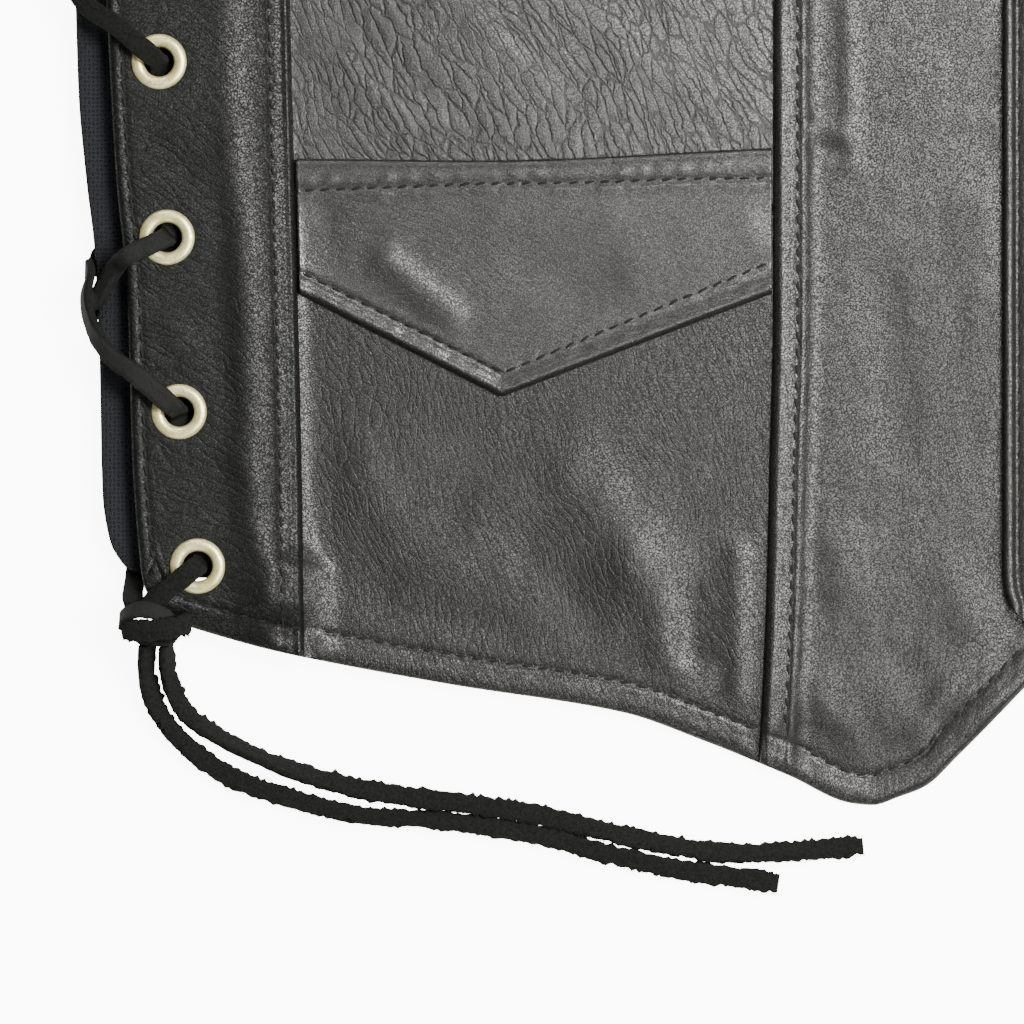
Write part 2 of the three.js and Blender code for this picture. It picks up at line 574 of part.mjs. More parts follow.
// A flat thong swept along its stops. Its flat side turns no further than it must between them.
function thong() {
  const stops = laceStops();
  const last = stops.length - 1;
  const curve = new THREE.CatmullRomCurve3(stops.map(({ at }) => at), false, "centripetal");
  const square = (vector, tangent) =>
    vector.clone().addScaledVector(tangent, -vector.dot(tangent)).normalize();
  const tangents = stops.map((_, i) => curve.getTangent(i / last));
  const normals = [square(stops[0].flat, tangents[0])];
  for (let i = 1; i <= last; i++) {
    const turn = new THREE.Quaternion().setFromUnitVectors(tangents[i - 1], tangents[i]);
    const carried = normals[i - 1].clone().applyQuaternion(turn);
    const wanted = square(stops[i].flat, tangents[i]);
    normals.push(carried.dot(wanted) < 0 ? wanted.negate() : wanted);
  }
  const positions = [];
  const faces = [];
  const ring = (t) => {
    const i = Math.min(Math.floor(t), last - 1);
    const at = curve.getPoint(t / last);
    const tangent = curve.getTangent(t / last);
    const normal = square(normals[i].clone().lerp(normals[i + 1], t - i), tangent);
    const across = normal.clone().cross(tangent);
    for (const [a, n] of [[1, 1], [-1, 1], [-1, -1], [1, -1]]) {
      const corner = at.clone();
      corner.addScaledVector(across, (a * THONG.wide) / 2);
      corner.addScaledVector(normal, (n * THONG.thick) / 2);
      positions.push(corner.x, corner.y, corner.z);
    }
  };
  const quad = (a, b, c, d) => faces.push(a, b, c, a, c, d);
  for (let i = 0; i <= last; i++) {
    ring(i);
    const next = i < last ? stops[i].at.distanceTo(stops[i + 1].at) : 0;
    if (next > 6) ring(i + 0.5);
  }
  const end = positions.length / 3 - 4;
  for (let k = 0; k < end; k += 4)
    for (let c = 0; c < 4; c++) {
      const d = (c + 1) % 4;
      quad(k + c, k + d, k + 4 + d, k + 4 + c);
    }
  quad(3, 2, 1, 0);
  quad(end, end + 1, end + 2, end + 3);
  const geometry = new THREE.BufferGeometry();
  geometry.setAttribute("position", new THREE.Float32BufferAttribute(positions, 3));
  geometry.setIndex(faces);
  return geometry;
}

// A knot is a small pad on the corner of the front hem
function knot() {
  const geometry = new THREE.SphereGeometry(1, 10, 6);
  geometry.scale(KNOT.wide, KNOT.tall, KNOT.thick);
  geometry.rotateX(KNOT.tilt);
  geometry.rotateZ(KNOT.turn);
  return geometry.translate(KNOT.x, KNOT.y, KNOT.z);
}

// A free end of the thong, lying on the surface; turn swings it about the knot
function tail(route, turn) {
  const points = route.map(({ x, y, z }) => {
    const point = new THREE.Vector3(x - KNOT.x, y - KNOT.y, 0);
    point.applyAxisAngle(flatUp, turn);
    return point.add(new THREE.Vector3(KNOT.x, KNOT.y, z ?? TAIL_RADIUS + 0.15));
  });
  const path = new THREE.CatmullRomCurve3(points, false, "centripetal");
  const corners = Array.from({ length: 8 }, (_, k) => {
    const angle = ((k + 0.5) / 8) * 2 * Math.PI;
    return new THREE.Vector2(TAIL_RADIUS * Math.cos(angle), TAIL_RADIUS * Math.sin(angle));
  });
  return new THREE.ExtrudeGeometry(new THREE.Shape(corners), {
    extrudePath: path,
    steps: Math.round(path.getLength() / TAIL_STEP),
    bevelEnabled: false,
  });
}

const FINISHES = {
  leather: { color: 0x222322, roughness: 0.5, metalness: 0 },
  lining: { color: 0x171b22, roughness: 0.9, metalness: 0 },
  brass: { color: 0xb9ae84, roughness: 0.35, metalness: 1 },
  thong: { color: 0x1c1f1b, roughness: 0.8, metalness: 0 },
};
function add(group, name, geometry, finish, place = [0, 0, 0]) {
  const mesh = new THREE.Mesh(geometry, new THREE.MeshStandardMaterial(FINISHES[finish]));
  mesh.name = name;
  mesh.position.set(...place);
  group.add(mesh);
  return mesh;
}

function half(side, overlaps, tailTurn) {
  const group = new THREE.Group();
  add(group, `${side}_side_panel`, sidePanel(), "leather");
  add(group, `${side}_chest_panel`, chestPanel(), "leather");
  add(group, `${side}_pocket_front`, pocketFront(), "leather");
  add(group, `${side}_pocket_flap`, pocketFlap(), "leather");
  add(group, `${side}_edge_panel`, edgePanel(overlaps), "leather");
  FRONT_GROMMETS.forEach(({ x, y }, i) => {
    const place = [x, y, frontUnder(x, y)];
    add(group, `${side}_grommet_front_${i + 1}`, grommet(LEATHER), "brass", place);
  });
  const backThickness = LINING_UNDER + LINING;
  BACK_GROMMETS.forEach(({ x, y }, i) => {
    const faceDown = grommet(backThickness).rotateX(Math.PI);
    const place = [x, y, backUnder(x, y) + backThickness];
    add(group, `${side}_grommet_back_${i + 1}`, faceDown, "brass", place);
  });
  add(group, `${side}_lace`, thong(), "thong");
  add(group, `${side}_knot`, knot(), "thong");
  add(group, `${side}_tail_long`, tail(LONG_TAIL, tailTurn), "thong");
  add(group, `${side}_tail_short`, tail(SHORT_TAIL, tailTurn), "thong");
  return group;
}

const vest = new THREE.Group();
add(vest, "back_panel", backLayer(backUnder, LEATHER, 0), "leather");
const liningHeight = (x, y) => backUnder(x, y) + LINING_UNDER;
add(vest, "back_lining", backLayer(liningHeight, LINING, 0.4), "lining");
vest.add(half("right", false, 0));
const leftHalf = half("left", true, LEFT_TAIL_TURN);
leftHalf.scale.x = -1;
vest.add(leftHalf);
SNAPS.forEach(({ x, y }, i) => add(vest, `snap_${i + 1}`, snap(), "brass", [x, y, 0]));
vest.position.y = -LENGTH / 2;

export default vest;
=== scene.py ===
"""A black leather vest with laced sides, laid flat with its snap front closed.

The outlines are in millimetres. Their y counts from the point of the front hem, and their x from
centre front. One half is described, with its side edge at negative x, and the other half is its
mirror image with creases of its own. in_scene() turns a place on the vest into one in the scene.
"""

import math

import bpy
import numpy as np
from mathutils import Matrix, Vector
from mathutils.bvhtree import BVHTree


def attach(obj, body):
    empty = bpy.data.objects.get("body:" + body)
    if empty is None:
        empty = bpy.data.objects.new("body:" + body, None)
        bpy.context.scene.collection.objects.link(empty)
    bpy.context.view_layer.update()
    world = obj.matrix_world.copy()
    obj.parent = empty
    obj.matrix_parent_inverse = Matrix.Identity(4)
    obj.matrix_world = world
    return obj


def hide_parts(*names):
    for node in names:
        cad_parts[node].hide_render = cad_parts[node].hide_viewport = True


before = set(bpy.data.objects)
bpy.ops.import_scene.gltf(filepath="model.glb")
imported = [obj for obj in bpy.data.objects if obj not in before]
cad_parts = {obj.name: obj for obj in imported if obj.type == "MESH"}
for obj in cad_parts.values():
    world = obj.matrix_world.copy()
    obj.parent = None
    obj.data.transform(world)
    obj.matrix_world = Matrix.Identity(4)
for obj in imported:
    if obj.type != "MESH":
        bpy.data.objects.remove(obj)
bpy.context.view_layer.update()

MM = 0.001
LENGTH = 591.0
MIDDLE = LENGTH / 2

# Sizes of the pieces
LEATHER = 1.4
LINING = 1.0
SEAM_GAP = 0.3
HEM_FOLD = 7.5
SEAM_FOLD = 6.0
SIDE_FOLD = 3.2
BEAD = 2.6
LAP_MARGIN = 6.0
BACK_HEM = 57.0
ARMPIT = 325.0
LACED_TO = 308.0
POCKET_MOUTH = 150.0
BACK_INSET = 18.0
BACK_RISE = 19.0
OVERLAP_ROOM = 1.8
THONG_WIDE = 4.9
THONG_THICK = 2.1
HOLE = 4.6
SNAPS = [(0.0, 78.0), (0.0, 156.0), (0.0, 234.0), (0.0, 312.0)]

# Heights of the layers above the surface
LINING_UNDER = LEATHER + SEAM_GAP
FRONT_UNDER = LINING_UNDER + LINING + SEAM_GAP
LAP = LEATHER + SEAM_GAP
UNDERNEATH_Z = 1.45
BACK_LIFT = 3.85
INSIDE_Z = 8.6
FRONT_LIFT = 7.65
OVER_FRONT = 3.95

# Outlines of the right half. Those that run up the vest give x for y, and the others y for x.
BACK_SIDE = [
    (59.5, -233.2), (61, -234.5), (66, -237.3), (78, -239.2), (114, -240), (139, -241.2),
    (156, -243.2), (178, -245.2), (202, -246), (300, -250.2), (ARMPIT, -251.2), (332, -236.2),
    (345, -218.2), (365, -203.2), (390, -192.2), (440, -180.7), (500, -179.2), (563, -189.2),
]
BACK_BOTTOM = [(-233.2, 59.5), (-229, 57.6), (-222, BACK_HEM), (0, BACK_HEM)]
SHOULDER_AND_NECK = [
    (-189.2, 563), (-86, LENGTH), (-79, 589), (-60, 580), (-30, 573.5), (0, 572),
]
FRONT_SIDE = [
    (51.5, -226.9), (56, -228.8), (63.5, -229.8), (86.5, -231.5), (128.8, -232.8),
    (156.5, -235.5), (201.5, -238), (328, -243.7),
]
FRONT_HEM = [
    (-226.9, 51.5), (-223.5, 47), (-217.5, 44.8), (-194, 38.3), (-153.3, 30.5), (-109, 23.3),
    (-88.3, 16), (-67.5, 7.5), (-51.8, 0.5), (-46.3, 0), (-40, 2), (-33, 4.8), (-25.3, 12.1),
    (3, 41), (9, 46.3), (12.2, 50),
]
SIDE_SEAM = [(37.8, -188.6), (82.5, -189.3), (129.8, -190.4), (182.5, -191.8), (382, -195.7)]
FRONT_SEAM = [
    (11.5, -74.8), (51.5, -73), (85.5, -72.2), (126.3, -71.3), (240, -71.3), (380, -84),
    (480, -103), (582, -124),
]
FRONT_OPENING = [
    (50, 12.2), (54.5, 13.5), (60, 13.9), (335, 13.9), (352, 8), (430, -24), (520, -58),
    (LENGTH, -84),
]
ARMHOLE_LOW = [(-243.7, 328), (-236, 332), (-218, 345), (-203, 365), (-195.7, 382)]
CHEST_SIDE = [
    (140, -190.8), (202, -192.2), (382, -195.7), (400, -185), (440, -172.5), (500, -171.5),
    (563, -189.2),
]
FLAP_TOP = [(-190.3, 161.8), (-144.8, 161.4), (-71.8, 164.5)]
FLAP_POINT = (-139.4, 102.3)
FLAP_END_Y = 128.3
FRONT_GROMMETS = [
    (-215.2, 60.0), (-219.8, 98.5), (-222.8, 142.0), (-224.8, 185.8), (-226.5, 229.5),
    (-228.5, 273.0),
]

# Soft ridges and troughs: from x, y to x, y, then how wide and how high
POCKET_CREASES = {
    "right": [
        (-121, 82, -104, 62, 9, 1.3), (-107, 58, -98, 50, 8, 1.5), (-99, 40, -96, 33, 5, 0.9),
        (-92.5, 52, -91.5, 38, 4.2, -1.3), (-79.5, 62, -79, 26, 4.2, 1.3),
        (-86, 24, -83, 34, 3, -0.6), (-176, 84, -160, 62, 9, 0.9), (-170, 52, -140, 42, 7, -0.6),
        (-150, 90, -128, 97, 5, -0.5), (-184, 95, -181, 60, 2.6, -0.5), (-134, 66, -120, 48, 6, -0.5),
        (-150, 60, -138, 76, 6, 0.5),
    ],
    "left": [
        (-128, 86, -112, 60, 10, 1.1), (-104, 72, -92, 40, 5, -1.0), (-84, 66, -80, 34, 4, 1.1),
        (-172, 78, -150, 66, 8, 1.0), (-166, 56, -138, 50, 5, -0.7), (-120, 46, -104, 36, 6, 0.8),
    ],
}
CHEST_CREASES = {
    "right": [
        (-181, 200, -150, 172, 3, -0.5), (-168, 214, -130, 182, 4, 0.5), (-150, 205, -120, 178, 3, -0.4),
        (-178, 186, -163, 170, 2.5, 0.5), (-182, 226, -140, 196, 4, 0.6), (-120, 196, -88, 178, 5, 0.4),
        (-176, 260, -118, 224, 6, 1.0), (-150, 292, -100, 250, 5, -0.8), (-188, 330, -130, 296, 7, 1.1),
        (-170, 350, -100, 322, 5, -0.9), (-176, 392, -112, 366, 6, 0.9), (-164, 430, -120, 420, 6, -0.7),
        (-160, 470, -116, 452, 7, 0.8), (-168, 520, -128, 505, 6, -0.6),
    ],
    "left": [
        (-178, 214, -142, 180, 4, 0.6), (-160, 236, -112, 212, 5, -0.7), (-184, 272, -128, 240, 6, 1.0),
        (-140, 276, -96, 262, 5, 0.6), (-180, 318, -116, 300, 7, -0.9), (-176, 352, -120, 338, 6, 1.0),
        (-172, 404, -108, 372, 5, -0.8), (-156, 446, -118, 428, 6, 0.8), (-166, 496, -124, 484, 7, 0.8),
        (-172, 540, -132, 528, 6, -0.6),
    ],
}
EDGE_CREASES = {
    "right": [
        (-52.8, 202, -52.3, 160, 2.2, 0.6), (-64, 171, -54, 168, 2.2, 0.8),
        (-63, 165, -53, 163.5, 1.6, -0.5),
        (-56, 66, -53, 54, 6, 0.8), (-27, 56, -22, 46, 6, 0.8), (-40, 36, -30, 22, 5, -0.6),
        (-61, 30, -50, 14, 4, 0.5), (-20, 150, -16, 100, 7, 0.5), (-44, 130, -40, 90, 6, -0.5),
        (-50, 240, -30, 214, 6, 0.8), (-62, 300, -24, 276, 5, -0.7), (-66, 352, -28, 334, 6, 0.9),
        (-74, 402, -44, 396, 5, -0.6), (-84, 446, -50, 430, 6, 0.7), (-96, 502, -66, 490, 5, 0.7),
        (-20, 44, -6, 52, 3, 0.5), (-34, 20, -28, 30, 2.5, 0.5), (-14, 38, -8, 48, 2, -0.5),
    ],
    "left": [
        (-58, 190, -54, 150, 4, 0.7), (-52, 88, -40, 70, 6, 0.8), (-30, 120, -22, 84, 6, -0.6),
        (-46, 40, -34, 26, 4, 0.7), (-60, 246, -34, 226, 6, 0.9), (-56, 284, -20, 268, 5, -0.7),
        (-66, 336, -30, 318, 6, 0.9), (-76, 388, -40, 368, 5, -0.6), (-84, 432, -52, 424, 6, 0.8),
        (-98, 486, -64, 470, 6, 0.7), (-110, 540, -80, 530, 5, -0.5),
    ],
}
SIDE_CREASES = {
    "right": [
        (-207, 88, -196, 76, 3, 0.5), (-212, 118, -198, 126, 4, -0.5), (-210, 160, -200, 172, 4, 0.5),
        (-222, 120, -214, 110, 3, 0.4), (-226, 166, -219, 158, 3, -0.4), (-208, 60, -197, 54, 3, 0.4),
        (-230, 216, -204, 206, 5, 0.7), (-234, 258, -204, 246, 5, -0.6), (-236, 296, -206, 284, 6, 0.8),
        (-222, 334, -204, 318, 5, -0.5),
    ],
    "left": [
        (-212, 92, -198, 84, 4, 0.6), (-216, 134, -200, 122, 4, -0.5), (-214, 176, -198, 168, 4, 0.6),
        (-232, 222, -204, 212, 5, 0.7), (-234, 262, -206, 254, 5, -0.6), (-232, 302, -204, 290, 6, 0.8),
    ],
}
FLAP_CREASES = {
    "right": [
        (-168, 136, -152, 122.5, 4.0, 0.75), (-106, 134, -78, 143, 5.5, 0.45),
        (-140, 146, -112, 148, 6, 0.25), (-184, 150, -182, 138, 4, -0.3), (-132, 134, -120, 130, 6, -0.25),
    ],
    "left": [
        (-168, 146, -140, 150, 5, 0.5), (-146, 126, -126, 134, 6, 0.6), (-116, 148, -96, 144, 6, -0.5),
        (-100, 138, -86, 146, 4, 0.5),
    ],
}

# Rows of stitches on the right half that don't run evenly beside an edge
FLAP_TOP_STITCHES = [
    (-189.3, 153.9), (-160, 155), (-144.8, 155.6), (-120, 155.9), (-93.8, 156.8), (-72.8, 157),
]
FLAP_LOW_STITCHES = [(-189.6, 133.5), (-138.8, 108.4), (-72.6, 135.8)]

# The knot and the free ends of the thong, from the knot along the surface
KNOT_X = -225.3
KNOT_Y = 45.3
LONG_TAIL = [
    (-223.2, 40.5, 9.8), (-222.4, 31.8, 4.6), (-218.5, 23.5, 2.3), (-211, 17.8, 2.05),
    (-194.8, 10, 2.05), (-178.3, 5, 2.05), (-161.5, 2, 2.05), (-145, 0, 2.05),
    (-129.8, -2.5, 2.05), (-106.8, -8, 2.05), (-83.8, -11.8, 2.05), (-66.8, -11.5, 2.05),
    (-48.8, -10, 2.05),
]
SHORT_TAIL = [
    (-227.8, 40.6, 9.6), (-228, 31.8, 4.4), (-224.8, 22.8, 2.3), (-217.8, 14.6, 2.05),
    (-207.3, 7.2, 2.05), (-194.8, 2.6, 2.05), (-178.3, -1.8, 2.05), (-169.8, -3, 2.05),
    (-159.5, -3.3, 2.05), (-145, -5, 2.05), (-129.8, -7.4, 2.05), (-112.5, -12.2, 2.05),
    (-95.3, -16, 2.05), (-78, -18.3, 2.05), (-70, -19.5, 2.05),
]
# How far the band is turned from flat, in radians, at shares of its length
LONG_ROLL = [(0, 1.2), (0.12, 0.5), (0.3, 0.9), (0.45, 0.35), (0.62, 0.1), (0.8, 0.45), (1, 0.2)]
SHORT_ROLL = [(0, 0.9), (0.15, 0.6), (0.3, 0.2), (0.5, 0.7), (0.7, 0.25), (0.85, -0.3), (1, 0.1)]


def in_scene(points):
    """Points on the vest, in millimetres, as points in the scene, in metres."""
    moved = np.array(points, dtype=float) * MM
    moved[..., 1] -= MIDDLE * MM
    return moved


# Camera, light and floor
def set_up_camera():
    """Straight above the lower corner of the wearer's right front."""
    above = 2.4
    seen = 0.256
    picked_height = 0.006
    data = bpy.data.cameras.new("camera")
    data.sensor_width = 36
    data.lens = 36 * (above - picked_height) / seen
    data.clip_start = 0.05
    data.clip_end = 20
    camera = bpy.data.objects.new("camera", data)
    camera.location = (-0.13675, -0.2220, above)
    bpy.context.scene.collection.objects.link(camera)
    bpy.context.scene.camera = camera


def soft_light(name, place, aim, size, watts):
    data = bpy.data.lights.new(name, "AREA")
    data.shape = "SQUARE"
    data.size = size
    data.energy = watts
    data.color = (1.0, 0.975, 0.945)
    light = bpy.data.objects.new(name, data)
    light.location = place
    light.rotation_euler = (Vector(aim) - Vector(place)).to_track_quat("-Z", "Y").to_euler()
    bpy.context.scene.collection.objects.link(light)


def set_up_studio():
    world = bpy.data.worlds.new("studio")
    world.use_nodes = True
    world.node_tree.nodes["Background"].inputs["Color"].default_value = (1, 1, 1, 1)
    world.node_tree.nodes["Background"].inputs["Strength"].default_value = 0.06
    bpy.context.scene.world = world
    soft_light("top_light", (0.123, 0.038, 0.7), (0.019, -0.066, 0), 0.25, 5.0)
    soft_light("right_light", (0.263, -0.072, 0.7), (0.103, -0.132, 0), 0.25, 4.7)
    soft_light("near_light", (0.163, -0.422, 0.7), (0.043, -0.342, 0), 0.25, 2.6)
    soft_light("low_light", (0.782, -0.222, 0.919), (-0.137, -0.222, 0), 0.5, 9.0)
    soft_light("far_light", (-0.32, 0.83, 0.75), (-0.137, -0.1, 0), 0.5, 4.0)
    soft_light("front_light", (-0.32, -1.25, 0.75), (-0.137, -0.3, 0), 0.5, 2.5)

    mesh = bpy.data.meshes.new("floor")
    half = 2.5
    corners = [(-half, -half, 0), (half, -half, 0), (half, half, 0), (-half, half, 0)]
    mesh.from_pydata(corners, [], [(0, 1, 2, 3)])
    floor = bpy.data.objects.new("floor", mesh)
    bpy.context.scene.collection.objects.link(floor)
    floor.location.z = -0.0003
    paper = bpy.data.materials.new("floor_paper")
    paper.use_nodes = True
    tree = paper.node_tree
    shader = tree.nodes["Principled BSDF"]
    shader.inputs["Base Color"].default_value = (0.93, 0.93, 0.93, 1)
    shader.inputs["Roughness"].default_value = 0.9
    shader.inputs["Emission Color"].default_value = (1, 1, 1, 1)
    seen_ray = tree.nodes.new("ShaderNodeLightPath")
    glow = tree.nodes.new("ShaderNodeMath")
    glow.operation = "MULTIPLY"
    glow.inputs[1].default_value = 9
    tree.links.new(seen_ray.outputs["Is Camera Ray"], glow.inputs[0])
    tree.links.new(glow.outputs[0], shader.inputs["Emission Strength"])
    mesh.materials.append(paper)


# Curves and soft steps
def curve_through(rows):
    """A smooth curve through (at, value) rows, which never swings past them."""
    at = np.array([row[0] for row in rows], dtype=float)
    value = np.array([row[1] for row in rows], dtype=float)
    span = np.diff(at)
    slope = np.diff(value) / span
    tangent = np.concatenate([[slope[0]], np.zeros(len(at) - 2), [slope[-1]]])
    for i in range(1, len(at) - 1):
        product = slope[i - 1] * slope[i]
        if product > 0:
            tangent[i] = 2 * product / (slope[i - 1] + slope[i])

    def curve(where):
        where = np.clip(np.asarray(where, dtype=float), at[0], at[-1])
        i = np.clip(np.searchsorted(at, where, side="right") - 1, 0, len(span) - 1)
        t = (where - at[i]) / span[i]
        start = (1 + 2 * t) * (1 - t) ** 2 * value[i] + t * (1 - t) ** 2 * span[i] * tangent[i]
        end = t * t * (3 - 2 * t) * value[i + 1] + t * t * (t - 1) * span[i] * tangent[i + 1]
        return start + end

    return curve


def rising(value, start, end):
    t = np.clip((np.asarray(value, dtype=float) - start) / (end - start), 0, 1)
    return t * t * (3 - 2 * t)


def falling(value, start, end):
    return 1 - rising(value, start, end)


def ripple(x, y, size, seed):
    """Soft uneven waves of about that size, from about -1 to 1."""
    rng = np.random.default_rng(seed)
    total = 0
    for _ in range(9):
        angle = rng.uniform(0, math.pi)
        wave = 2 * math.pi / (size * rng.uniform(0.6, 1.7))
        phase = rng.uniform(0, 2 * math.pi)
        total = total + np.sin(wave * (x * math.cos(angle) + y * math.sin(angle)) + phase)
    return total / 4.2


def creased(x, y, table):
    """The height that soft ridges and troughs add."""
    total = np.zeros_like(x)
    for x1, y1, x2, y2, wide, rise in table:
        long = (x2 - x1) ** 2 + (y2 - y1) ** 2
        t = np.clip(((x - x1) * (x2 - x1) + (y - y1) * (y2 - y1)) / long, 0, 1)
        away = (x - x1 - t * (x2 - x1)) ** 2 + (y - y1 - t * (y2 - y1)) ** 2
        total += rise * np.exp(-away / wide**2)
    return total


back_side = curve_through(BACK_SIDE)
back_bottom = curve_through(BACK_BOTTOM)
shoulder_and_neck = curve_through(SHOULDER_AND_NECK)
front_side = curve_through(FRONT_SIDE)
front_hem = curve_through(FRONT_HEM)
side_seam = curve_through(SIDE_SEAM)
front_seam = curve_through(FRONT_SEAM)
front_opening = curve_through(FRONT_OPENING)
armhole_low = curve_through(ARMHOLE_LOW)
chest_side = curve_through(CHEST_SIDE)
flap_top = curve_through(FLAP_TOP)
BACK_GROMMETS = [(float(back_side(y + BACK_RISE)) + BACK_INSET, y + BACK_RISE) for _, y in FRONT_GROMMETS]


def shoulder(x):
    return shoulder_and_neck(x) - 0.5


def flap_lower(x):
    point_x, point_y = FLAP_POINT
    on_left = point_y + (x - point_x) / (side_seam(FLAP_END_Y) - point_x) * (FLAP_END_Y - point_y)
    on_right = point_y + (x - point_x) / (front_seam(FLAP_END_Y) - point_x) * (FLAP_END_Y - point_y)
    return np.where(x < point_x, on_left, on_right)


def laced(x, y, across, along):
    """Where the laces hold the leather up: 1 near the side edge, as far up as they go."""
    inset = x - back_side(np.minimum(y, ARMPIT))
    return falling(inset, *across) * falling(y, *along)


def back_under(x, y):
    return BACK_LIFT * laced(x, y, (33, 52), (LACED_TO, LACED_TO + 24))


def front_under(x, y):
    corner = 1 - 0.62 * falling(y, 42, 52)
    lift = laced(x, y, (35, 54), (LACED_TO + 8, LACED_TO + 38))
    return FRONT_UNDER * rising(y, 4, 31) + FRONT_LIFT * corner * lift


# Edges of the leather. Each gives a height over the flat leather, and a mark along its crest where the
# colour lightens, partly as wear from handling and partly as a painted highlight.
def turned_edge(
    distance, x, y, width, rise, seed, crest=1.7, crest_wide=0.85, groove=0.4, puff=0.16, drop=0.75
):
    """A turned edge, stitched at width: a ridge at crest, then lower to the stitches in their groove.

    puff is how far the leather swells beside the stitches, and drop how much of it rounds away at
    the very edge.
    """
    round_off = 1.3
    lost = drop * (LEATHER + 0.5 * rise)
    inside = np.clip(distance / round_off, 0, 1)
    rounded = lost * (1 - np.sqrt(inside * (2 - inside)))
    puckers = ripple(x, y, 4.0, seed)
    ridge = rise * (0.3 + 0.7 * np.exp(-(((distance - crest) / crest_wide) ** 2))) * (1 + 0.07 * puckers)
    puffs = puff * np.exp(-(((distance - 0.7 * width) / 1.1) ** 2)) * (1 + puckers)
    groove = groove * np.exp(-(((distance - width) / 0.5) ** 2))
    swell = 1 + ripple(x, y, 3.8, seed + 900)
    beyond = 0.85 * puff * np.exp(-(((distance - width - 1.7) / 0.9) ** 2)) * swell
    height = ridge * falling(distance, width - 1.4, width + 0.3) + puffs - rounded - groove + beyond
    # The crest mark: the colour lightens along it, partly as wear and partly as a painted highlight.
    wear_and_sheen = np.exp(-(((distance - crest) / crest_wide) ** 2))
    return height, wear_and_sheen


def beaded_edge(distance, x, y, seed):
    """The rolled bead along the front opening, with the groove inside it."""
    inside = np.clip((distance + 0.2) / (BEAD + 0.4), 0, 1)
    bead = np.where(distance < BEAD, np.sqrt(np.maximum(1 - (2 * inside - 1) ** 2, 0)), 0)
    groove = 0.7 * np.exp(-(((distance - BEAD - 0.9) / 0.9) ** 2))
    height = bead - groove - 0.5 * falling(distance, 0, 0.5) + 0.06 * ripple(x, y, 6, seed)
    wear_and_sheen = np.exp(-(((distance - 0.45 * BEAD) / 0.9) ** 2))
    return height, wear_and_sheen


def joined(*reliefs):
    """Where edges meet, the higher form and the deeper hollow hold."""
    top = np.maximum.reduce([relief[0] for relief in reliefs] + [np.zeros_like(reliefs[0][0])])
    low = np.minimum.reduce([relief[0] for relief in reliefs] + [np.zeros_like(reliefs[0][0])])
    wear_and_sheen = np.maximum.reduce([relief[1] for relief in reliefs])
    return top + low, wear_and_sheen


# Meshes
def new_piece(name, points, faces, material, slot, smooth=True, marks=None):
    """A mesh piece from points in the scene. marks are values at its points, by name."""
    mesh = bpy.data.meshes.new(name)
    points = np.array(points, dtype=float)
    points[:, 2] = np.maximum(points[:, 2], 0)
    mesh.from_pydata(points.tolist(), [], faces)
    mesh.polygons.foreach_set("use_smooth", [smooth] * len(mesh.polygons))
    for mark, values in (marks or {}).items():
        layer = mesh.attributes.new(mark, "FLOAT", "POINT")
        layer.data.foreach_set("value", np.asarray(values, dtype=np.float32).ravel())
    mesh.materials.append(material)
    piece = bpy.data.objects.new(name, mesh)
    bpy.context.scene.collection.objects.link(piece)
    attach(piece, "root")
    return piece


def mirrored(points, faces):
    points = np.array(points, dtype=float)
    points[:, 0] *= -1
    return points, [tuple(reversed(face)) for face in faces]


def spread(lengths, near, shares, far):
    """Distances along lines of those lengths: near their start, at shares between, near their end."""
    scale = np.minimum(1, lengths / (near[-1] + far[-1] + 1))
    start = near[-1] * scale
    between = lengths - far[-1] * scale - start
    count = len(near) + len(shares) + len(far)
    out = np.empty_like(lengths)
    for j in range(count):
        column = (slice(None), j)
        if j < len(near):
            out[column] = near[j] * scale[column]
        elif j < len(near) + len(shares):
            out[column] = start[column] + between[column] * shares[j - len(near)]
        else:
            out[column] = lengths[column] - far[count - 1 - j] * scale[column]
    return out


def even(length, step):
    """Shares for places about a step apart over a length."""
    count = max(1, round(length / step))
    return [(k + 1) / (count + 1) for k in range(count)]


def graded(length, fine_to, fine, coarse):
    """Shares for places that lie close together up to fine_to, and wider apart beyond."""
    places = list(np.arange(fine, fine_to, fine)) + list(np.arange(fine_to, length - coarse, coarse))
    return [place / length for place in places]


EDGE_STEPS = [0, 0.25, 0.6, 1.05, 1.6, 2.3, 3.1, 4, 4.9, 5.6, 6.2, 6.8, 7.4, 8, 8.8, 10]


def panel_places(left, right, bottom, top, across, along):
    """The places of a panel's grid between four edges, and their distances from these."""
    near_x, shares_x, far_x = across
    near_y, shares_y, far_y = along
    columns = len(near_x) + len(shares_x) + len(far_x)
    rows = len(near_y) + len(shares_y) + len(far_y)
    third = np.array(LENGTH / 3)
    x = np.full((rows, columns), float((left(third) + right(third)) / 2))
    y = (bottom(x) + top(x)) / 2
    for _ in range(14):
        x = left(y) + spread(right(y) - left(y), near_x, shares_x, far_x)
        slant = np.hypot(1, (bottom(x + 1) - bottom(x - 1)) / 2)
        height = top(x) - bottom(x)
        scaled = spread((height / slant).T, near_y, shares_y, far_y).T
        y = bottom(x) + scaled * slant + 0 * height
    lean = np.hypot(1, (right(y + 1) - right(y - 1)) / 2)
    from_edges = {
        "left": x - left(y),
        "right": (right(y) - x) / lean,
        "bottom": (y - bottom(x)) / slant,
        "top": top(x) - y,
    }
    return x, y, from_edges


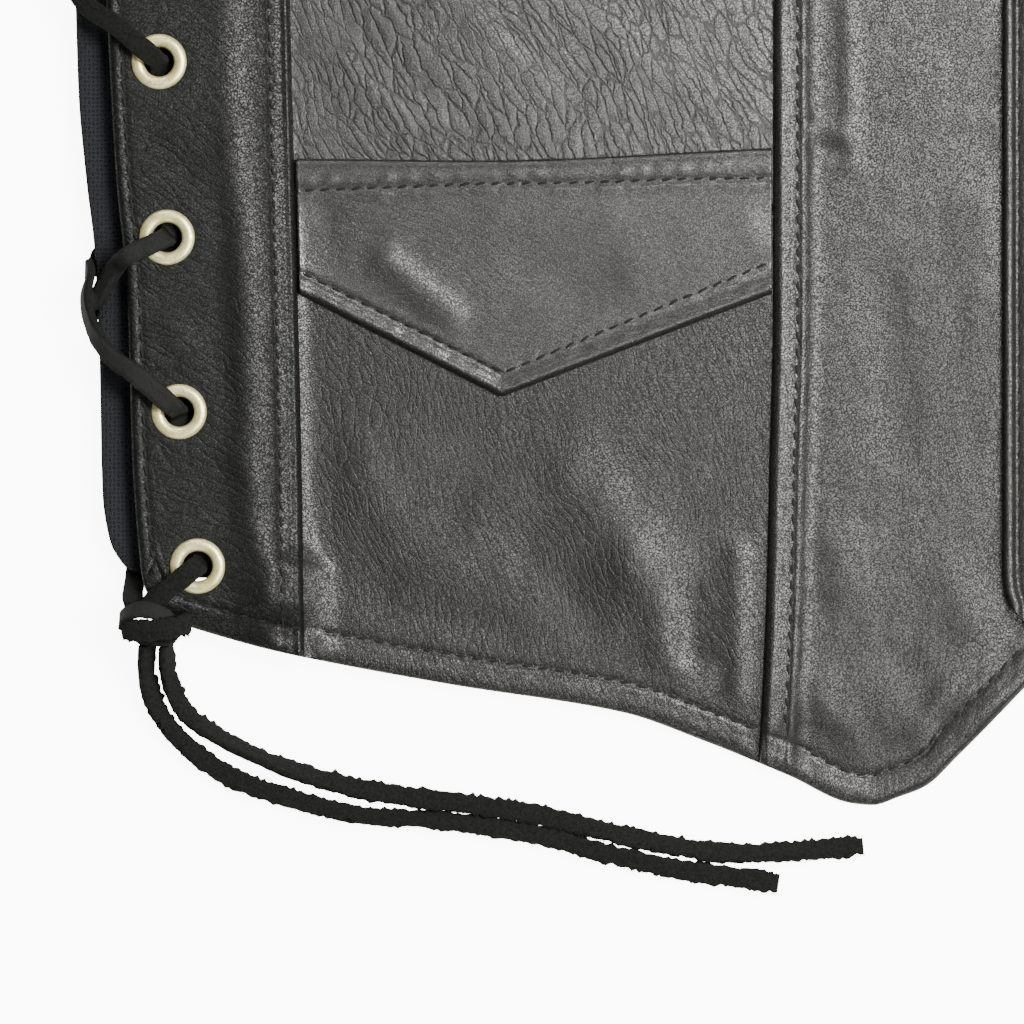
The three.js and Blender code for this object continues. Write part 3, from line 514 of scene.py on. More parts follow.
def wall(x, y, under, over, holes=()):
    """Points and faces of a closed wall through a grid, with round holes through it."""
    rows, columns = x.shape
    x = x.copy()
    y = y.copy()
    gone = np.zeros(x.shape, dtype=bool)
    for hole_x, hole_y in holes:
        away = np.hypot(x - hole_x, y - hole_y)
        inside = away < HOLE
        near_edge = np.zeros_like(inside)
        for shift_i in (-1, 0, 1):
            for shift_j in (-1, 0, 1):
                near_edge |= ~np.roll(np.roll(inside, shift_i, 0), shift_j, 1)
        edge = inside & near_edge
        grow = HOLE / np.maximum(away, 0.3)
        x[edge] = (hole_x + (x - hole_x) * grow)[edge]
        y[edge] = (hole_y + (y - hole_y) * grow)[edge]
        gone |= inside
    size = rows * columns
    points = np.vstack(
        [
            np.column_stack([x.ravel(), y.ravel(), under.ravel()]),
            np.column_stack([x.ravel(), y.ravel(), over.ravel()]),
        ]
    )
    index = np.arange(size).reshape(rows, columns)
    a, b, c, d = index[:-1, :-1], index[:-1, 1:], index[1:, 1:], index[1:, :-1]
    kept = ~(gone[:-1, :-1] & gone[:-1, 1:] & gone[1:, 1:] & gone[1:, :-1])
    upper = np.stack([a[kept], b[kept], c[kept], d[kept]], axis=1) + size
    lower = np.stack([a[kept], d[kept], c[kept], b[kept]], axis=1)
    starts = upper.ravel()
    ends = np.roll(upper, -1, axis=1).ravel()
    forward = starts * (4 * size) + ends
    alone = ~np.isin(forward, ends * (4 * size) + starts)
    starts, ends = starts[alone], ends[alone]
    rim = np.stack([ends, starts, starts - size, ends - size], axis=1)
    faces = np.vstack([upper, lower, rim])
    used = np.unique(faces)
    renumber = np.full(2 * size, -1)
    renumber[used] = np.arange(len(used))
    return points[used], renumber[faces].tolist(), used


def surface_of(points, faces):
    """A look-up of the height of a piece's upper side at a place, in millimetres."""
    tree = BVHTree.FromPolygons([tuple(p) for p in points], faces)

    def height(x, y):
        hit = tree.ray_cast(Vector((x, y, 60)), Vector((0, 0, -1)))[0]
        return None if hit is None else hit.z

    return height


# A stitch's radius at shares of its length
STITCH_SHAPE = [(0, 0.12), (0.1, 0.3), (0.3, 0.37), (0.5, 0.38), (0.7, 0.37), (0.9, 0.3), (1, 0.12)]


class Half:
    """One half of the vest: its side, the fineness of its meshes and its stitches."""

    def __init__(self, side, fine):
        self.side = side
        self.mirror = side == "left"
        self.fine = fine
        self.seed = 500 if self.mirror else 100
        self.stitch_points = []
        self.stitch_faces = []

    def piece(self, name, points, faces, material, slot, **more):
        if self.mirror:
            points, faces = mirrored(points, faces)
        return new_piece(f"{self.side}_{name}", in_scene(points), faces, material, slot, **more)

    def panel(self, node, x, y, under, over, wear_and_sheen, material, cut, area, holes=()):
        """A leather panel in place of its CAD node. cut and area, those of the flat leather, are not used.
        """
        over = np.maximum(over, under + 0.5)
        points, faces, used = wall(x, y, under, over, holes)
        marks = {"wear_and_sheen": np.concatenate([np.zeros(x.size), wear_and_sheen.ravel()])[used]}
        made = self.piece(f"{node}_leather", points, faces, material, "leather", marks=marks)
        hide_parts(f"{self.side}_{node}")
        return surface_of(points, faces)

    def stitch(self, line, height, pitch=4.15, long=2.9, seed=0):
        """A row of stitches along a line over a surface."""
        rng = np.random.default_rng(self.seed + seed)
        line = np.array(line, dtype=float)
        steps = np.linalg.norm(np.diff(line, axis=0), axis=1)
        travelled = np.concatenate([[0], np.cumsum(steps)])
        count = int(travelled[-1] / pitch)
        for k in range(count):
            middle = (k + 0.5) * travelled[-1] / count
            ends = []
            for shift in (-0.5, 0, 0.5):
                at = middle + shift * (long + rng.normal(0, 0.12))
                ends.append((np.interp(at, travelled, line[:, 0]), np.interp(at, travelled, line[:, 1])))
            heights = [height(*end) for end in ends]
            if None in heights:
                continue
            lean = 0.22 + rng.normal(0, 0.1)
            way = np.array(ends[2]) - np.array(ends[0])
            across = np.array([-way[1], way[0]]) / max(np.linalg.norm(way), 1e-6)
            a = np.array([*(ends[0] - across * lean), heights[0] - 0.3])
            b = np.array([*ends[1], max(heights[1], (heights[0] + heights[2]) / 2) + 0.08])
            c = np.array([*(ends[2] + across * lean), heights[2] - 0.3])
            self.add_stitch(a, b, c, np.array([*across, 0]))

    def add_stitch(self, a, b, c, across):
        sides = 6
        start = len(self.stitch_points)
        for t, radius in STITCH_SHAPE:
            centre = (1 - t) ** 2 * a + 2 * t * (1 - t) * (2 * b - 0.5 * a - 0.5 * c) + t * t * c
            for k in range(sides):
                angle = 2 * math.pi * k / sides
                up = np.array([0, 0, math.cos(angle)])
                self.stitch_points.append(centre + radius * (across * math.sin(angle) + up))
        for i in range(len(STITCH_SHAPE) - 1):
            for k in range(sides):
                m = (k + 1) % sides
                row = start + i * sides
                self.stitch_faces.append((row + k, row + m, row + sides + m, row + sides + k))

    def sew(self, material):
        self.piece("stitches", self.stitch_points, self.stitch_faces, material, "leather")


def beside(curve, start, end, offset, runs_up=True, step=2.0):
    """A line beside an edge curve. It lies an offset to the right of one that runs up, or above."""
    at = np.arange(start, end, step)
    value = curve(at)
    slope = (curve(at + 0.5) - curve(at - 0.5)) / 1.0
    size = np.hypot(1, slope)
    if runs_up:
        return np.column_stack([value + offset / size, at - offset * slope / size])
    return np.column_stack([at - offset * slope / size, value + offset / size])


# The panels of a front
def side_panel(half, material):
    fine = half.fine
    wide = [d for d in EDGE_STEPS if d <= 4.9]
    x, y, away = panel_places(
        front_side, side_seam, front_hem, armhole_low,
        (wide, even(18, 1.3 * fine), EDGE_STEPS + [11.5, 13]),
        (EDGE_STEPS, graded(270, 150, 1.4 * fine, 3 * fine), wide + [6, 7.5]),
    )
    seam_fold = 5.3
    lap = LAP * falling(away["right"], LAP_MARGIN + 1, LAP_MARGIN + 14)
    relief, wear_and_sheen = joined(
        turned_edge(
            away["left"], x, y, SIDE_FOLD, 0.1, half.seed + 1,
            crest=1.4, crest_wide=0.8, groove=0.2, puff=0.06,
        ),
        turned_edge(
            away["right"], x, y, seam_fold, 1.1, half.seed + 2, crest=1.3, crest_wide=0.65, puff=0.03
        ),
        turned_edge(
            away["bottom"], x, y, HEM_FOLD - 1, 0.6, half.seed + 3, crest=2.6, crest_wide=1.7
        ),
        turned_edge(away["top"], x, y, SEAM_FOLD, 0.5, half.seed + 4),
    )
    around = sum(
        0.16 * np.exp(-(((np.hypot(x - gx, y - gy) - 9.5) / 2.6) ** 2)) for gx, gy in FRONT_GROMMETS
    )
    soft = creased(x, y, SIDE_CREASES[half.side]) * rising(away["right"], 5, 9) * rising(away["left"], 3, 6)
    soft = 0.45 * soft + 0.04 * ripple(x, y, 14, half.seed + 5) + around
    under = front_under(x, y) + lap
    height = half.panel(
        "side_panel", x, y, under + 0.3 * np.minimum(soft, 0), under + LEATHER + relief + soft, wear_and_sheen,
        material, (0.062, 0.36), 0.0135, FRONT_GROMMETS,
    )
    half.stitch(beside(front_side, 56, 326, SIDE_FOLD), height, seed=1)
    half.stitch(beside(side_seam, 44, 380, -seam_fold), height, seed=2)
    half.stitch(beside(front_hem, -222, -193.5, HEM_FOLD - 1, False), height, seed=3)
    half.stitch(beside(armhole_low, -238, -200, -SEAM_FOLD, False), height, seed=4)


def clear_of_laps(away):
    """1 away from the parts of a middle panel that lie under its neighbours."""
    return rising(away["left"], LAP_MARGIN + 0.6, LAP_MARGIN + 5) * rising(
        away["right"], LAP_MARGIN + 0.6, LAP_MARGIN + 5
    )


def chest_panel(half, material):
    fine = half.fine
    x, y, away = panel_places(
        lambda at: chest_side(at) - LAP_MARGIN * falling(at, 372, 384),
        lambda at: front_seam(at) + LAP_MARGIN,
        lambda at: POCKET_MOUTH + SEAM_GAP / 2 + 0 * at,
        shoulder,
        ([0, 1, 2, 3.2, 4.5, 6, 7.5, 9, 10.5, 12], even(106, 1.7 * fine), [0, 3, 6, 7.5, 9, 10.5, 12]),
        ([0, 1.5], graded(420, 66, 1.6 * fine, 3.6 * fine), [0, 0.6, 1.4, 2.6, 4, 5, 6, 8]),
    )
    armhole, armhole_wear_and_sheen = turned_edge(away["left"], x, y, SEAM_FOLD, 0.5, half.seed + 11)
    over_armhole = rising(y, 372, 392)
    top_edge, top_wear_and_sheen = turned_edge(away["top"], x, y, 5, 0.3, half.seed + 12)
    clear = clear_of_laps(away)
    open_left = np.maximum(clear, over_armhole * rising(away["left"], 7, 12) * rising(away["right"], 7, 11))
    soft = creased(x, y, CHEST_CREASES[half.side]) + 0.16 * ripple(x, y, 22, half.seed + 13)
    big = 1.0 * np.exp(-(((x + 134) / 45) ** 2) - ((y - 265) / 90) ** 2)
    under = front_under(x, y)
    relief = armhole * over_armhole + np.minimum(top_edge, 0)
    lift = (np.maximum(soft, -0.6) * 0.4 + big) * open_left
    wear_and_sheen = np.maximum(armhole_wear_and_sheen * over_armhole, top_wear_and_sheen * 0.5)
    height = half.panel(
        "chest_panel", x, y, under + np.maximum(lift, 0) * 0.8, under + LEATHER + relief + lift, wear_and_sheen,
        material, (0.15, 0.45), 0.0495,
    )
    half.stitch(beside(chest_side, 386, 560, SEAM_FOLD), height, seed=11)


def pocket_front(half, material):
    fine = half.fine
    x, y, away = panel_places(
        lambda at: side_seam(at) - LAP_MARGIN,
        lambda at: front_seam(at) + LAP_MARGIN,
        front_hem,
        lambda at: POCKET_MOUTH - SEAM_GAP / 2 + 0 * at,
        ([0, 3, 6, 7, 8, 9.2, 10.5, 12], even(106, 1.4 * fine), [0, 3, 6, 7, 8, 9.2, 10.5, 12]),
        (EDGE_STEPS, even(110, 1.4 * fine), [0, 3]),
    )
    clear = clear_of_laps(away)
    hem, wear_and_sheen = turned_edge(
        away["bottom"], x, y, HEM_FOLD, 0.6, half.seed + 21, crest=2.8, crest_wide=1.9, puff=0.08
    )
    body = rising(away["left"], LAP_MARGIN + 2, LAP_MARGIN + 18)
    body = body * rising(away["right"], LAP_MARGIN + 1, LAP_MARGIN + 9)
    body = body * rising(away["bottom"], 8, 17) * falling(y, 92, 104)
    soft = 0.7 * creased(x, y, POCKET_CREASES[half.side]) * body
    soft = soft + 0.06 * ripple(x, y, 16, half.seed + 22) * clear * falling(y, 96, 110)
    under = front_under(x, y)
    relief = np.maximum(hem * clear, -LEATHER + 0.5)
    height = half.panel(
        "pocket_front", x, y, under + 0.75 * np.maximum(soft, 0), under + LEATHER + relief + soft,
        wear_and_sheen * clear, material, (0.13, 0.145), 0.0168,
    )
    half.stitch(beside(front_hem, -186, -76, HEM_FOLD, False), height, seed=21)


def pocket_flap(half, material):
    fine = half.fine
    fold = 4.9
    x, y, away = panel_places(
        lambda at: side_seam(at) + 0.5,
        lambda at: front_seam(at) - 0.5,
        flap_lower,
        flap_top,
        ([0, 0.5, 1.2, 2], even(112, 1.15 * fine), [0, 0.5, 1.2, 2]),
        (EDGE_STEPS[:12], even(28, 1.3 * fine), EDGE_STEPS[:14]),
    )
    top_row = np.interp(x, [p[0] for p in FLAP_TOP_STITCHES], [p[1] for p in FLAP_TOP_STITCHES])
    top_width = np.maximum(flap_top(x) - top_row, 3)
    top_edge, top_wear_and_sheen = turned_edge(
        away["top"], x, y, top_width, 0.6, half.seed + 31, crest=0.9, crest_wide=0.6, puff=0.2, drop=0.3
    )
    low_edge, low_wear_and_sheen = turned_edge(
        away["bottom"], x, y, fold, 0.95, half.seed + 32, crest=1.5, crest_wide=0.8
    )
    relief, wear_and_sheen = joined((top_edge, top_wear_and_sheen), (low_edge, low_wear_and_sheen))
    soft = creased(x, y, FLAP_CREASES[half.side]) + 0.035 * ripple(x, y, 11, half.seed + 33)
    soft = soft * rising(away["bottom"], 5, 9) * rising(away["top"], 7, 11)
    under = front_under(x, y) + LAP
    height = half.panel(
        "pocket_flap", x, y, under, under + LEATHER + relief + soft, wear_and_sheen,
        material, (0.119, 0.064), 0.0054,
    )
    half.stitch(FLAP_TOP_STITCHES, height, pitch=3.85, long=2.8, seed=31)
    half.stitch(FLAP_LOW_STITCHES[:2], height, pitch=3.9, seed=32)
    half.stitch(FLAP_LOW_STITCHES[1:], height, pitch=3.9, seed=33)


def edge_panel(half, material):
    fine = half.fine
    x, y, away = panel_places(
        front_seam,
        front_opening,
        front_hem,
        shoulder,
        (EDGE_STEPS, even(64, 1.5 * fine), [0, 0.3, 0.7, 1.3, 1.9, 2.4, 2.9, 3.5, 4.2, 5, 6.5]),
        (EDGE_STEPS, graded(560, 190, 1.5 * fine, 3.8 * fine), [0, 0.6, 1.4, 2.6, 4, 5, 6]),
    )
    lap = LAP * falling(away["left"], LAP_MARGIN + 1, LAP_MARGIN + 5)
    neck = rising(y, 330, 372)
    seam = turned_edge(away["left"], x, y, SEAM_FOLD, 0.9, half.seed + 41, crest=2.0, crest_wide=1.0)
    hem = turned_edge(
        away["bottom"], x, y, HEM_FOLD, 0.8, half.seed + 42, crest=2.8, crest_wide=1.9, puff=0.1
    )
    hem_here = rising(away["right"], 3, 9)
    bead = beaded_edge(away["right"], x, y, half.seed + 43)
    neck_edge = turned_edge(away["right"], x, y, 5, 0.5, half.seed + 44)
    opening = tuple((1 - neck) * b + neck * n for b, n in zip(bead, neck_edge))
    top_edge = turned_edge(away["top"], x, y, 5, 0.3, half.seed + 45)
    relief, wear_and_sheen = joined(seam, (hem[0] * hem_here, hem[1] * hem_here), opening, top_edge)
    soft = 0.7 * creased(x, y, EDGE_CREASES[half.side]) + 0.06 * ripple(x, y, 17, half.seed + 46)
    slant_pucker = 0.25 * ripple(x + y, x - y, 5, half.seed + 47)
    slant_pucker = slant_pucker * falling(away["bottom"], 7, 22) * rising(x, -34, -26)
    soft = (soft + slant_pucker) * rising(away["left"], 6, 11) * rising(away["right"], 4, 9)
    under = front_under(x, y) + lap
    if half.mirror:
        under = under + rising(x, -34, -16) * falling(y, 352, 400) * (LEATHER + OVERLAP_ROOM)
    height = half.panel(
        "edge_panel", x, y, under, under + LEATHER + relief + soft, wear_and_sheen,
        material, (0.14, 0.6), 0.0435,
        SNAPS if half.mirror else (),
    )
    half.stitch(beside(front_seam, 20, 578, SEAM_FOLD), height, seed=41)
    half.stitch(beside(front_hem, -66, -2, HEM_FOLD, False), height, seed=42)
    half.stitch(beside(front_opening, 62, 330, -BEAD - 1.6), height, pitch=4.0, seed=43)
    half.stitch(beside(front_opening, 366, 584, -5), height, seed=44)


# The back and its lining
def back_layer(node, height_of, thickness, inset, material, slot):
    offsets = np.array(
        [0, 0.5, 1.2, 2.2, 3.5, 5, 6, 7] + list(np.arange(9, 56, 2.2)) + list(np.arange(60, 250, 9.5))
    )
    half_width = -float(back_side(ARMPIT))
    shares = np.concatenate([[0, 0.0012, 0.003, 0.006, 0.01, 0.014], np.arange(0.018, 0.5, 0.0055)])
    shares = np.concatenate([shares, np.arange(0.5, 0.985, 0.012), [0.988, 0.994, 1]])
    x = np.full((len(shares), len(offsets)), -LENGTH / 3)
    y = np.full_like(x, BACK_HEM)
    for _ in range(14):
        side = back_side(y) + inset
        x = side * (1 - offsets[None, :] / half_width)
        bottom = back_bottom(x) + inset
        y = bottom + (shoulder_and_neck(x) - inset - bottom) * shares[:, None]
    middle_bottom = BACK_HEM + inset
    middle_y = middle_bottom + (float(shoulder_and_neck(0)) - inset - middle_bottom) * shares
    x = np.hstack([x, np.zeros((len(shares), 1)), -x[:, ::-1]])
    y = np.hstack([y, middle_y[:, None], y[:, ::-1]])
    under = height_of(-np.abs(x), y)
    edge = np.minimum(np.abs(back_side(y) + inset) - np.abs(x), y - back_bottom(-np.abs(x)) - inset)
    rounded = 0.5 * thickness * falling(edge, 0, 1.2)
    holes = BACK_GROMMETS + [(-gx, gy) for gx, gy in BACK_GROMMETS]
    if slot == "leather":
        fold = 0.5 * rising(edge, 0, 1.5) * falling(edge, 6, 8) * falling(y, 330, 350)
        under = under + 0.5 - fold * 0.9 + 0.15 * rounded
        under = np.maximum(under, 0)
        over = under + thickness - 0.5 + fold * 0.9 - rounded
    else:
        over = under + thickness - rounded
    points, faces, used = wall(x, y, under, over, holes)
    marks = {"wear_and_sheen": np.zeros(len(used))}
    made = new_piece(node + "_piece", in_scene(points), faces, material, slot, marks=marks)
    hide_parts(node)


# Turned metal
def lathe(places, profile, name, material, nodes, mirror, face_down=False, sides=48):
    """Rings or caps from a profile of radius and height, at (x, y, z) places, as one piece."""
    points = []
    faces = []
    closed = profile[0][0] > 0
    for px, py, pz in places:
        start = len(points)
        for radius, z in profile:
            for k in range(sides):
                angle = 2 * math.pi * k / sides
                height = -z if face_down else z
                points.append((px + radius * math.cos(angle), py + radius * math.sin(angle), pz + height))
        rings = len(profile)
        for i in range(rings if closed else rings - 1):
            n = (i + 1) % rings
            for k in range(sides):
                m = (k + 1) % sides
                near, far = start + i * sides, start + n * sides
                face = (near + k, near + m, far + m, far + k)
                faces.append(tuple(reversed(face)) if face_down else face)
    if mirror:
        points, faces = mirrored(points, faces)
    piece = new_piece(name, in_scene(points), faces, material, "brass")
    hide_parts(*nodes)


def rolled_ring(thickness):
    """The profile of an eyelet: a rolled flange on top, its barrel and a washer behind."""
    seat = 0.1
    top = thickness + seat
    flange = []
    for k in range(9):
        angle = math.pi * k / 8
        flange.append((5.35 + 1.6 * math.cos(angle), top + 1.05 * math.sin(angle)))
    return [
        (3.7, -seat - 0.6), (4.9, -seat - 0.62), (5.9, -seat - 0.5), (6.1, -seat - 0.2), (6.0, -seat),
        (4.3, -seat), (4.3, top - 0.02), (6.6, top - 0.03), *flange, (3.72, top - 0.3),
    ]


# The thong
def unit(vectors):
    return vectors / np.maximum(np.linalg.norm(vectors, axis=-1, keepdims=True), 1e-9)


def smooth_line(points, step):
    """A centripetal Catmull-Rom line through the points, and how many points each place has passed."""
    p = np.array(points, dtype=float)
    p = np.vstack([2 * p[0] - p[1], p, 2 * p[-1] - p[-2]])
    line = []
    passed = []
    for i in range(1, len(p) - 2):
        a, b, c, d = p[i - 1 : i + 3]
        t1 = np.linalg.norm(b - a) ** 0.5
        t2 = t1 + np.linalg.norm(c - b) ** 0.5
        t3 = t2 + np.linalg.norm(d - c) ** 0.5
        count = max(2, int(np.linalg.norm(c - b) / step))
        for k in range(count):
            t = t1 + (t2 - t1) * k / count
            ab = (t1 - t) / t1 * a + t / t1 * b
            bc = (t2 - t) / (t2 - t1) * b + (t - t1) / (t2 - t1) * c
            cd = (t3 - t) / (t3 - t2) * c + (t - t2) / (t3 - t2) * d
            first = (t2 - t) / t2 * ab + t / t2 * bc
            second = (t3 - t) / (t3 - t1) * bc + (t - t1) / (t3 - t1) * cd
            line.append((t2 - t) / (t2 - t1) * first + (t - t1) / (t2 - t1) * second)
            passed.append(i - 1 + k / count)
    line.append(p[-2])
    passed.append(len(p) - 3)
    return np.array(line), np.array(passed, dtype=float)


def softened(values, width):
    window = np.hanning(width + 2)[1:-1]
    padded = np.concatenate([values[:1].repeat(width), values, values[-1:].repeat(width)])
    soft = np.convolve(padded, window / window.sum(), "same")[width:-width]
    return soft / max(soft.std(), 1e-9)


def frame_along(line, flats):
    along = unit(np.gradient(line, axis=0))
    flat = unit(flats - along * np.sum(flats * along, axis=1, keepdims=True))
    return along, flat, np.cross(flat, along)


BAND_SECTION = [
    (-0.42, -0.5), (-0.2, -0.5), (0.2, -0.5), (0.42, -0.5), (0.5, -0.26), (0.5, 0.26),
    (0.42, 0.5), (0.2, 0.5), (-0.2, 0.5), (-0.42, 0.5), (-0.5, 0.26), (-0.5, -0.26),
]


def band(line, flats, wide, thick, seed, rough=0.1, grain_up=True):
    """Points, faces and the grain side's mark of a flat band along a line."""
    rng = np.random.default_rng(seed)
    _, flat, across = frame_along(line, flats)
    count = len(line)
    width = wide * (1 + 0.05 * softened(rng.normal(size=count), 9))
    width[-2:] *= 0.86
    rows = []
    for a, n in BAND_SECTION:
        ragged = rough * rng.normal(size=(count, 1)) * (1.6 if abs(a) > 0.45 else 0.6)
        sideways = a * width[:, None] + np.sign(a) * ragged
        rows.append(line + across * sideways + flat * (n * thick + 0.5 * ragged))
    points = np.stack(rows, axis=1).reshape(-1, 3)
    size = len(BAND_SECTION)
    faces = []
    for i in range(count - 1):
        for k in range(size):
            m = (k + 1) % size
            faces.append((i * size + k, i * size + m, (i + 1) * size + m, (i + 1) * size + k))
    faces.append(tuple(range(size - 1, -1, -1)))
    faces.append(tuple(range((count - 1) * size, count * size)))
    grain = np.tile([1.0 if n > 0.4 and grain_up else 0.0 for _, n in BAND_SECTION], count)
    return points, faces, grain


def nap(line, flats, wide, thick, per_mm, seed):
    """Short loose fibres that stand out from the sides of a suede band."""
    rng = np.random.default_rng(seed)
    along, flat, across = frame_along(line, flats)
    length = np.linalg.norm(np.diff(line, axis=0), axis=1).sum()
    points = []
    faces = []
    for _ in range(int(length * per_mm)):
        i = rng.integers(0, len(line))
        side = rng.choice([-1, 1])
        root = line[i] + across[i] * side * wide * 0.47 + flat[i] * rng.uniform(-0.5, 0.5) * thick
        way = across[i] * side + along[i] * rng.normal(0, 0.7) + flat[i] * rng.normal(0, 0.35)
        tip = root + unit(way) * rng.uniform(0.25, 0.7)
        tip[2] = max(tip[2], 0.05)
        start = len(points)
        points += [root - along[i] * 0.05, root + along[i] * 0.05, tip]
        faces.append((start, start + 1, start + 2))
    return points, faces


def lace_route():
    """The thong's way through the twelve eyelets of a side, from the knot and back to it."""
    route = [("start", -228.2, 50.2, 13.4), ("end", -223.4, 53.6, 14.7)]
    for i in (0, 2, 4):
        x, y = FRONT_GROMMETS[i]
        rise = BACK_GROMMETS[i + 1][1] - y
        route.append(("front", x, y, 0))
        for share in (0.3, 0.66):
            route.append(("inside", x + 8, y + share * rise, INSIDE_Z))
        route.append(("back", *BACK_GROMMETS[i + 1], 0))
        if i < 4:
            turn = (BACK_GROMMETS[i + 1][1] + FRONT_GROMMETS[i + 2][1]) / 2 - 4.5
            route.append(("snug", float(back_side(turn)) - 1.5, turn, 0))
            route.append(("over", float(front_side(turn + 12)) + 0.7, turn + 12, 0))
        else:
            turn = BACK_GROMMETS[5][1] + 5
            route.append(("edge", float(back_side(turn)) - 1.7, turn, 0))
    for i in (4, 2, 0):
        route.append(("front", *FRONT_GROMMETS[i + 1], 0))
        route.append(("back", *BACK_GROMMETS[i], 0))
        if i > 0:
            turn = (BACK_GROMMETS[i - 1][1] + FRONT_GROMMETS[i][1]) / 2 + 3.5
            route.append(("loose", float(back_side(turn)) - 1.7, turn + 1, 0))
            route.append(("over", float(front_side(turn - 25)) + 0.9, turn - 25, 0.2))
    route += [
        ("end", -229.0, 66, UNDERNEATH_Z), ("end", -230.9, 59.5, UNDERNEATH_Z + 0.4),
        ("end", -231.4, 54.5, 5.5), ("end", -231.6, 50.2, 10.2),
    ]
    return route


def lace_stops():
    """Stops of the thong's middle line, and the way its flat side looks at each."""
    route = lace_route()
    stops = []
    flats = []

    def stop(x, y, z, flat=(0, 0, 1)):
        stops.append((float(x), float(y), float(z)))
        flats.append(flat)

    def between(a, b, x):
        return a[2] + (x - a[1]) / (b[1] - a[1]) * (b[2] - a[2])

    for i, place in enumerate(route):
        kind, x, y, z = place
        before = route[i - 1] if i else None
        after = route[i + 1] if i + 1 < len(route) else None
        edge = float(back_side(y))
        on_front = float(front_under(np.array(front_side(y)), np.array(y))) + OVER_FRONT - 0.5
        if kind in ("front", "back"):
            if kind == "front":
                start, end = float(front_under(np.array(x), np.array(y))) + OVER_FRONT, INSIDE_Z
            else:
                start, end = INSIDE_Z, UNDERNEATH_Z
            coming = unit(np.array([x - before[1], y - before[2]]))
            going = unit(np.array([after[1] - x, after[2] - y]))
            middle = unit(coming + going)
            turned = (middle[0], middle[1], 0)
            drop = (start - end) / 2 - 1
            centre = (start + end) / 2
            stop(x - 7.4 * coming[0], y - 7.4 * coming[1], start)
            stop(x - 2.9 * coming[0], y - 2.9 * coming[1], start - 0.05)
            stop(x - 0.5 * coming[0], y - 0.5 * coming[1], centre + drop, turned)
            stop(x + 0.5 * going[0], y + 0.5 * going[1], centre - drop, turned)
            stop(x + 2.9 * going[0], y + 2.9 * going[1], end + 0.05)
            stop(x + 7.4 * going[0], y + 7.4 * going[1], end)
        elif kind == "edge":
            stop(edge + 3.6, between(before, place, edge + 3.6), UNDERNEATH_Z)
            stop(edge - 0.5, between(before, place, edge - 0.5), UNDERNEATH_Z + 0.4, (0.4, 0, 1))
            stop(x, y, 5.4, (1, 0, 0))
            stop(x + 0.9, between(place, after, x + 0.9), 9.6, (-1, 0, 0.5))
            over = float(front_side(y)) - 0.8
            stop(over, between(place, after, over), on_front)
        elif kind == "snug":
            stop(edge + 3.6, between(before, place, edge + 3.6), UNDERNEATH_Z)
            stop(edge - 0.3, y - 0.8, UNDERNEATH_Z + 0.4, (0.4, 0, 1))
            stop(x, y + 0.6, 4.9, (1, 0, 0))
            stop(edge + 0.6, y + 2.4, 7.9, (-0.6, 0, 1))
            stop(edge + 2.2, y + 5.6, 8.6, (-0.7, 0, 1))
            stop(edge + 4.9, y + 9.5, 10.6, (-0.4, 0, 1))
        elif kind == "loose":
            stop(edge + 3.6, between(before, place, edge + 3.6), UNDERNEATH_Z)
            stop(edge - 0.3, y + 0.8, UNDERNEATH_Z + 0.4, (0.4, 0, 1))
            stop(x, y, 5.2, (1, 0, 0))
            stop(edge - 1.2, y - 1.8, 8.7, (-1, 0, 0.25))
            stop(edge - 2.2, y - 7, 10.2, (-1, 0, 0.3))
            stop(edge - 0.6, y - 14.5, 11, (-1, 0, 0.5))
            stop(edge + 4.2, y - 22, 12.4, (-0.5, 0, 1))
        elif kind == "over":
            stop(x, y, on_front + 0.5 + z)
        elif kind == "start":
            stop(x, y, z, (0.5, -0.5, -1))
        else:
            stop(x, y, z)
    return stops, flats


def carried_flats(line, passed, stops, flats):
    """The way the band's flat side looks along the line. It turns no further than it must."""
    along = unit(np.gradient(line, axis=0))
    at_stop = [int(np.argmin(np.abs(passed - i))) for i in range(len(stops))]
    tangents = [Vector(along[i]) for i in at_stop]

    def square(vector, tangent):
        return (vector - tangent * vector.dot(tangent)).normalized()

    normals = [square(Vector(flats[0]), tangents[0])]
    for i in range(1, len(stops)):
        carried = tangents[i - 1].rotation_difference(tangents[i]) @ normals[-1]
        wanted = square(Vector(flats[i]), tangents[i])
        normals.append(-wanted if carried.dot(wanted) < 0 else wanted)
    table = np.array([tuple(n) for n in normals])
    return np.column_stack([np.interp(passed, range(len(stops)), table[:, k]) for k in range(3)])


def lace(half, material):
    stops, flats = lace_stops()
    line, passed = smooth_line(stops, 0.9)
    looks = carried_flats(line, passed, stops, flats)
    points, faces, grain = band(line, looks, THONG_WIDE, THONG_THICK, half.seed + 51, rough=0.05)
    points[:, 2] = np.maximum(points[:, 2], 0.02)
    made = half.piece("lace_thong", points, faces, material, "thong", marks={"grain_side": grain})
    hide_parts(f"{half.side}_lace")


KNOT_BANDS = [
    (
        [(-234, 45.4, 9.6), (-233.4, 47.5, 12.8), (-229.4, 49.2, 14.9), (-225, 48.4, 15.1),
         (-222, 46.4, 14), (-221.2, 44.2, 11.4)],
        3.8, True,
    ),
    (
        [(-233.4, 45, 9.4), (-232.6, 44.2, 13.1), (-228, 43.9, 15.2), (-222.5, 44.6, 15.5),
         (-218.5, 45.4, 13.7), (-217.7, 46, 10.8)],
        5.2, False,
    ),
    (
        [(-231.4, 44.5, 9.2), (-230, 41.8, 10.6), (-226, 41, 11.6), (-221.8, 41.4, 11),
         (-220.3, 44, 9.6)],
        4.6, False,
    ),
]


